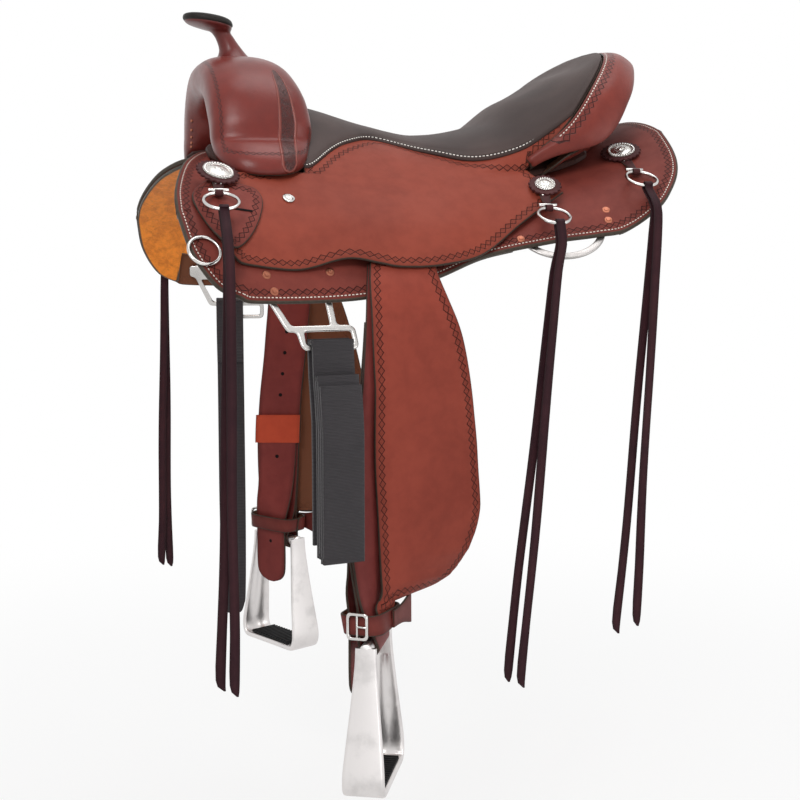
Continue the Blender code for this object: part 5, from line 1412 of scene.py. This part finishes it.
def leather_stations(side):
    """The stirrup leather: down the outside, round the stirrup's bar and up the inside."""
    bar_c, bar_e, bar_n, bar_t = path_frame(BAR_Z, side, 64.0)
    stations = []
    for z in LEGS:
        c, e, n, t = path_frame(z, side, TWIST(z))
        stations.append((c + n * leather_spread(z), e * STRAP_W, n * STRAP_T / 2))
    for k in range(9):
        a = pi * k / 8
        d = bar_n * cos(a) + bar_t * sin(a)
        stations.append((bar_c + d * LOOP_R, bar_e * STRAP_W, d * STRAP_T / 2))
    for z in reversed(LEGS[3:]):
        c, e, n, t = path_frame(z, side, TWIST(z))
        stations.append((c - n * leather_spread(z), e * STRAP_W, -n * STRAP_T / 2))
    return stations


def keeper_and_tail(label, side):
    keeper = []
    for z in (-0.3560, -0.3770, -0.3980):
        c, e, n, t = path_frame(z, side, TWIST(z))
        keeper.append((c - n * (PLY_GAP + STRAP_T + 0.0021), e * 0.0345, n * 0.0041))
    keeper = strap("keeper_%s" % label, keeper, keeper_mat, soft=0.0016, smoothing=6)
    tail = []
    for z, w in ((-0.3700, 0.0290), (-0.4050, 0.0290), (-0.4350, 0.0290), (-0.4650, 0.0290),
                 (-0.4900, 0.0290), (-0.5200, 0.0290), (-0.5500, 0.0290), (-0.5800, 0.0290),
                 (-0.5980, 0.0270), (-0.6080, 0.0190), (-0.6130, 0.0060)):
        c, e, n, depth, drop = tail_spot(z, side)
        tail.append((c + n * depth + drop, e * w, n * 0.0016))
    tail = strap("stirrup_leather_%s_end" % label, tail, strap_mat, smoothing=4)
    # The punched holes are near-black rods through the leather: painted shade in the holes.
    holes = []
    for z in (-0.230, -0.262, -0.294, -0.326):
        c, e, n, t = path_frame(z, side, TWIST(z))
        out = leather_spread(z) + STRAP_T / 2
        holes.append(rod("hole", c - n * (out + 0.00035), c - n * (out - 0.002), 0.0028, hole_shade_mat, 18))
    for z in (-0.419, -0.4505, -0.5500):
        c, e, n, depth, drop = tail_spot(z, side)
        c = c + drop
        holes.append(rod("hole", c + n * (depth - 0.00195), c + n * (depth + 0.00195), 0.0028, hole_shade_mat,
                         18))
    return keeper, tail, joined("strap_holes_" + label, holes)


def hobble(label, side):
    """Hobble strap round the leather, its flared end and its buckle."""
    rows = []
    near = (0, 0.0004, 0.001, 0.002, 0.0035)
    for z in [blend(-0.5100, -0.5320, f) for f in cluster(0.022, near=near, count=3)]:
        c, e, n, t = path_frame(z, side, TWIST(z))
        row = []
        for k in range(73):
            a = 2 * pi * k / 72 + 0.001
            cw = abs(cos(a)) ** 0.35 * (1 if cos(a) > 0 else -1)
            cd = abs(sin(a)) ** 0.55 * (1 if sin(a) > 0 else -1)
            row.append(c - n * 0.0020 + e * HOBBLE_W * cw + n * HOBBLE_D * cd)
        rows.append(row)
    middle = sum((Vector(p) for p in rows[3][:-1]), Vector()) / 72
    band = panel("hobble_%s_band" % label, rows, HOBBLE_T, plain_mat, origin=middle)
    c, e, n, t = path_frame(-0.5210, side, TWIST(-0.5210))
    flare = ((0.000, 0.0100), (0.015, 0.0104), (0.030, 0.0116), (0.042, 0.0140), (0.052, 0.0166),
             (0.060, 0.0184))
    stations = [(c + e * w + n * (HOBBLE_D + 0.0032), t * h, n * 0.0014) for w, h in flare]
    flap = strap("hobble_%s_end" % label, stations, plain_mat, smoothing=6)
    m = Matrix((n, t, -e)).transposed().to_4x4()
    m.translation = c - e * (HOBBLE_W + HOBBLE_T + 0.0006) - n * 0.002
    bits = [outline_plate("buckle_%s_frame" % label, oblong(0.0130, 0.0158, 0.006),
                          [oblong(0.0096, 0.0122, 0.004)], 0.0032, m, chrome_mat, 0.0014)]
    for name, a, b, r in (("buckle_bar", (-0.0005, -0.0135, 0.0012), (-0.0005, 0.0135, 0.0012), 0.0013),
                          ("buckle_tongue", (-0.0005, 0.0, 0.0020), (0.0118, 0.0, 0.0034), 0.0012)):
        bits.append(rod(name, m @ Vector(a), m @ Vector(b), r, chrome_mat))
    return band, flap, joined("buckle_%s_metal" % label, bits)


# A stirrup's half outline, (half width, drop below the bar, half breadth), and the section of its metal.
IRON = [Vector(p) for p in ((0.0460, -0.0040, 0.0120), (0.0475, 0.0200, 0.0130), (0.0520, 0.0600, 0.0165),
                            (0.0575, 0.1000, 0.0205), (0.0625, 0.1320, 0.0235), (0.0635, 0.1470, 0.0242),
                            (0.0605, 0.1575, 0.0245), (0.0535, 0.1622, 0.0245), (0.0300, 0.1624, 0.0245),
                            (0.0, 0.1624, 0.0245))]
IRON_SECTION = ((-1, -0.45), (-0.97, -0.75), (-0.90, -0.95), (-0.84, -1), (0.84, -1), (0.90, -0.95),
                (0.97, -0.75), (1, -0.45), (1, 0.0), (1, 0.45), (0.97, 0.75), (0.90, 0.95), (0.84, 1),
                (0.30, 1), (0.26, 0.80), (-0.26, 0.80), (-0.30, 1), (-0.84, 1), (-0.90, 0.95),
                (-0.97, 0.75), (-1, 0.45), (-1, 0.0))
TREAD_HALF = 0.0450
TREAD_LONG = 0.0430
RIBS = 14


def stirrup(label, bar_c, across, facing, down):
    fine = [curve_point(IRON, k / 60) for k in range(61)]
    outline = [Vector((-p.x, p.y, p.z)) for p in fine] + [p for p in reversed(fine[:-1])]
    rings = []
    for k, p in enumerate(outline):
        q0, q1 = outline[max(k - 1, 0)], outline[min(k + 1, len(outline) - 1)]
        along = Vector((q1.x - q0.x, q1.y - q0.y)).normalized()
        thick = 0.0034 + 0.0006 * smooth((p.y - 0.12) / 0.04)
        c = bar_c + across * p.x + down * p.y
        out = (across * along.y - down * along.x) * thick
        rings.append([c + facing * p.z * fb + out * ft for fb, ft in IRON_SECTION])
    iron = loft("stirrup_%s_iron" % label, rings, alu_mat, sharp=50)
    bar = rod("stirrup_%s_bar" % label, bar_c - across * 0.0475, bar_c + across * 0.0475,
              STIRRUP_BAR - 0.0002, alu_mat, 32)
    return joined("stirrup_%s_metal" % label, [iron, bar])


def tread_pad(label, bar_c, across, facing, down):
    m = Matrix((across, -down, facing)).transposed().to_4x4()
    m.translation = bar_c + down * (0.1622 - 0.0045) - facing * TREAD_LONG / 2
    comb = [(-TREAD_HALF, 0.0)]
    pitch = 2 * TREAD_HALF / RIBS
    for k in range(RIBS):
        x0 = -TREAD_HALF + pitch * k
        comb += [(x0 + 0.0006, 0.0038), (x0 + pitch * 0.15, 0.0040), (x0 + pitch * 0.55, 0.0040),
                 (x0 + pitch * 0.66, 0.0016)]
        if k < RIBS - 1:
            comb.append((x0 + pitch * 0.98, 0.0016))
    comb.append((TREAD_HALF, 0.0))
    return outline_plate("tread_%s_rubber" % label, comb, [], TREAD_LONG, m, rubber_mat, 0.0002)


for label, side in SIDES:
    body = "fender_swing_" + label
    fender = panel("fender_%s_leather" % label, fender_grid(side), FENDER_T, fender_mat,
                   centre=(0.0, -0.35))
    place(fender, body, "fender_" + label)
    lea = strap("stirrup_leather_%s_strap" % label, leather_stations(side), strap_mat, smoothing=4)
    bits = keeper_and_tail(label, side)
    place(lea, body, "stirrup_leather_" + label)
    for ob in bits:
        place(ob, body)
    band, flap, buckle = hobble(label, side)
    place(band, body, "hobble_strap_" + label)
    place(flap, body)
    place(buckle, body, "hobble_buckle_" + label)

    body = "stirrup_swing_" + label
    bar_c, bar_e, bar_n, bar_t = path_frame(BAR_Z, side, 64.0)
    down = Vector((0, 0, -1))
    across = (bar_e - down * bar_e.dot(down)).normalized()
    facing = across.cross(down).normalized()
    place(stirrup(label, bar_c, across, facing, down), body, "stirrup_" + label)
    place(tread_pad(label, bar_c, across, facing, down), body, "tread_pad_" + label)

# Stirrup leather hangers.
for label, side in SIDES:
    grid = [[barrel(x, blend(0.160, 0.268, j / 24), OVER_SKIRT, side) for j in range(25)]
            for x in [blend(-0.112, -0.048, f) for f in cluster(0.064)]]
    hanger = panel("stirrup_hanger_%s_strap" % label, grid, STRAP_T, strap_mat, centre=BACK_AXIS)
    place(hanger, "saddle", "stirrup_hanger_" + label)


# Latigo and off billet.
def arc(cd, cz, r, a0, a1, n):
    return [(cd + r * cos(blend(a0, a1, k / n)), cz + r * sin(blend(a0, a1, k / n))) for k in range(n + 1)]


def eased(line, count):
    """The same line with count spots along each stretch."""
    pts = [Vector(p) for p in line]
    steps = (len(pts) - 1) * count
    return [tuple(curve_point(pts, k / steps)) for k in range(steps + 1)]


def flat_strap(name, bar, ex, line, half_w, thick, mat, ends=()):
    """Strap along a line of (outward distance from the bar, height), wide along the bar; ends gives the
    width factors of its first stations. Gives the strap and its outward direction."""
    outward = Vector((ex.y, -ex.x, 0))
    if outward.y * bar.y < 0:
        outward = -outward
    stations = []
    for k, (d, z) in enumerate(line):
        d0, z0 = line[max(k - 1, 0)]
        d1, z1 = line[min(k + 1, len(line) - 1)]
        tang = (outward * (d1 - d0) + Vector((0, 0, z1 - z0))).normalized()
        wide = half_w * (ends[k] if k < len(ends) else 1.0)
        stations.append((Vector((bar.x, bar.y, z)) + outward * d, ex * wide, ex.cross(tang) * thick / 2))
    return strap(name, stations, mat, smoothing=1), outward


FOLD_LOW = -0.430
FOLD_HIGH = -0.242
FOLD_MID = -0.330
FOLD_R = 0.0028
BAR_LOOP = 0.0066
PLATE_T = 0.0025
LATIGO_HALF = 0.0245
LATIGO_T = 0.0048
BILLET_HALF = 0.020
BILLET_T = 0.0044
m = level_frame(*PLATE_AT, 0.0017, -1.0)
bar = m @ Vector((0.017, 0.3895 - PLATE_AT[1], PLATE_T / 2))
ex = m.to_3x3() @ Vector((1, 0, 0))
line = [(-BAR_LOOP, FOLD_LOW + 0.004), (-BAR_LOOP, FOLD_MID)]
line += arc(0.0, bar.z, BAR_LOOP, pi, 0.0, 10)
depth = BAR_LOOP
for fold_z, fold_end in ((FOLD_LOW, 2 * pi), (FOLD_HIGH, 0.0), (FOLD_LOW - 0.004, 2 * pi)):
    line += [(depth, FOLD_MID)] + arc(depth + FOLD_R, fold_z, FOLD_R, pi, fold_end, 8)
    depth += 2 * FOLD_R
line += [(depth, FOLD_MID), (depth, FOLD_HIGH - 0.004)]
line = eased(line, 3)
line = [(d + 0.011 * smooth((-0.210 - z) / 0.09), z) for d, z in line]
latigo = flat_strap("latigo_webbing", bar, ex, line, LATIGO_HALF, LATIGO_T, nylon_mat)[0]
place(latigo, "cinch_latigo", "latigo")

m = level_frame(*PLATE_AT, 0.0017, 1.0)
bar = m @ Vector((0.0, 0.366 - PLATE_AT[1], PLATE_T / 2))
ex = m.to_3x3() @ Vector((1, 0, 0))
bz = bar.z
line = [(-0.0040, z) for z in (-0.663, -0.6625, -0.660, -0.655, -0.648, -0.640, -0.60, -0.53, -0.46)]
line += [(0.0060, -0.395), (0.0180, -0.330), (0.0210, -0.275), (0.0210, bz - 0.040)]
line += [(0.0190, bz - 0.024), (0.0130, bz - 0.010)]
line += arc(0.0, bz, BAR_LOOP, radians(25), pi, 10)
line += [(-BAR_LOOP, bz - 0.030), (-0.0010, bz - 0.060), (0.0100, bz - 0.078), (0.0155, -0.275)]
taper = [smooth(k / 24) ** 0.5 * 0.65 + 0.35 for k in range(24)]
billet, billet_out = flat_strap("off_billet_webbing", bar, ex, eased(line, 3), BILLET_HALF, BILLET_T,
                                nylon_mat, taper)
place(billet, "cinch_billet", "off_billet")
# The billet's holes are near-black rods: painted shade in the holes.
eyelets = []
legs = table([(-0.663, -0.0040), (-0.46, -0.0040), (-0.395, 0.0060), (-0.330, 0.0180), (-0.275, 0.0210)])
for k in range(5):
    z = -0.320 - 0.068 * k
    q = Vector((bar.x, bar.y, z)) + billet_out * legs(z)
    eyelets.append(rod("hole", q - billet_out * 0.0026, q + billet_out * 0.0026, 0.0042, hole_shade_mat, 18))
place(joined("off_billet_holes", eyelets), "cinch_billet")

# Floor, camera and light.
bpy.ops.mesh.primitive_plane_add(size=14.0, location=(0, 0, -0.95))
floor = bpy.context.object
floor.name = "floor"
g = Graph("floor_pale")
g.surface((0.86, 0.86, 0.855), 0.8, 0.0, spec=0.2)
rays = g.node("LightPath", "Is Camera Ray").node.outputs
share = g.ramp(g.node("VectorMath", "Value", ((0, g.coords()),), operation="LENGTH"), 0.5, 2.2, 0.80, 1.0)
seen = g.mul(g.m("MAXIMUM", rays["Is Camera Ray"], rays["Is Glossy Ray"]), share)
lit = g.t.nodes["Principled BSDF"].outputs[0]
shader = g.node("MixShader", 0, ((0, seen), (1, lit), (2, g.node("Emission", 0))))
g.put(g.t.nodes["Material Output"].inputs["Surface"], shader)
floor.data.materials.append(g.mat)

CAMERA_TURN = radians(16.0)
CAMERA_TILT = radians(6.9)
CAMERA_FAR = 1.86
CAMERA_AIM = Vector((0, 0, -0.305))
SENSOR = 36.0
sc = bpy.context.scene
look = Vector((sin(CAMERA_TURN) * cos(CAMERA_TILT), cos(CAMERA_TURN) * cos(CAMERA_TILT), -sin(CAMERA_TILT)))
right = Vector((cos(CAMERA_TURN), -sin(CAMERA_TURN), 0))
cam_data = bpy.data.cameras.new("camera")
cam = bpy.data.objects.new("camera", cam_data)
sc.collection.objects.link(cam)
cam.matrix_world = Matrix((right, right.cross(look), -look)).transposed().to_4x4()
cam.location = CAMERA_AIM - CAMERA_FAR * look
cam_data.sensor_width = SENSOR
cam_data.lens = 1374.0 / 800.0 * SENSOR
sc.camera = cam


def area(name, place_at, target, size, power):
    li = bpy.data.lights.new(name, "AREA")
    li.energy = power
    li.size = size
    ob = bpy.data.objects.new(name, li)
    sc.collection.objects.link(ob)
    ob.location = place_at
    ob.rotation_euler = (Vector(target) - Vector(place_at)).to_track_quat("-Z", "Y").to_euler()


area("key", (-1.3, -2.1, 1.4), (0, 0, -0.10), 0.9, 34.0)
area("top", (0.3, -0.2, 2.0), (0, 0, 0), 1.4, 17.0)
area("fill", (1.9, -2.0, 0.3), (0, 0, -0.25), 1.3, 14.0)
area("low_front", (-0.4, -2.6, -0.9), (0, 0, -0.40), 1.3, 9.0)

# A soft grey sky lights the saddle, and the camera and mirrors see white in its place.
sky = Graph("backdrop", "worlds")
sc.world = sky.mat
height = sky.node("SeparateXYZ", "Z", ((0, sky.node("TexCoord", "Generated")),))
level = sky.node("ValToRGB", 0, ((0, height),))
shades = level.node.color_ramp.elements
shades[0].position = 0.0
shades[0].color = (0.10, 0.10, 0.10, 1.0)
shades[1].position = 0.75
shades[1].color = (1.0, 1.0, 1.0, 1.0)
shades.new(0.16).color = (0.26, 0.26, 0.27, 1.0)
grey = sky.t.nodes["Background"]
sky.put(grey.inputs["Color"], level)
sky.put(grey.inputs["Strength"], 0.62)
white = sky.node("Background", 0, (("Color", (1.0, 1.0, 1.0)), ("Strength", 1.0)))
rays = sky.node("LightPath", "Is Camera Ray").node.outputs
seen = sky.m("MAXIMUM", sky.m("MAXIMUM", rays["Is Camera Ray"], rays["Is Glossy Ray"]),
             rays["Is Transmission Ray"])
shader = sky.node("MixShader", 0, ((0, seen), (1, grey.outputs[0]), (2, white)))
sky.put(sky.t.nodes["World Output"].inputs["Surface"], shader)

sc.view_settings.view_transform = "Standard"
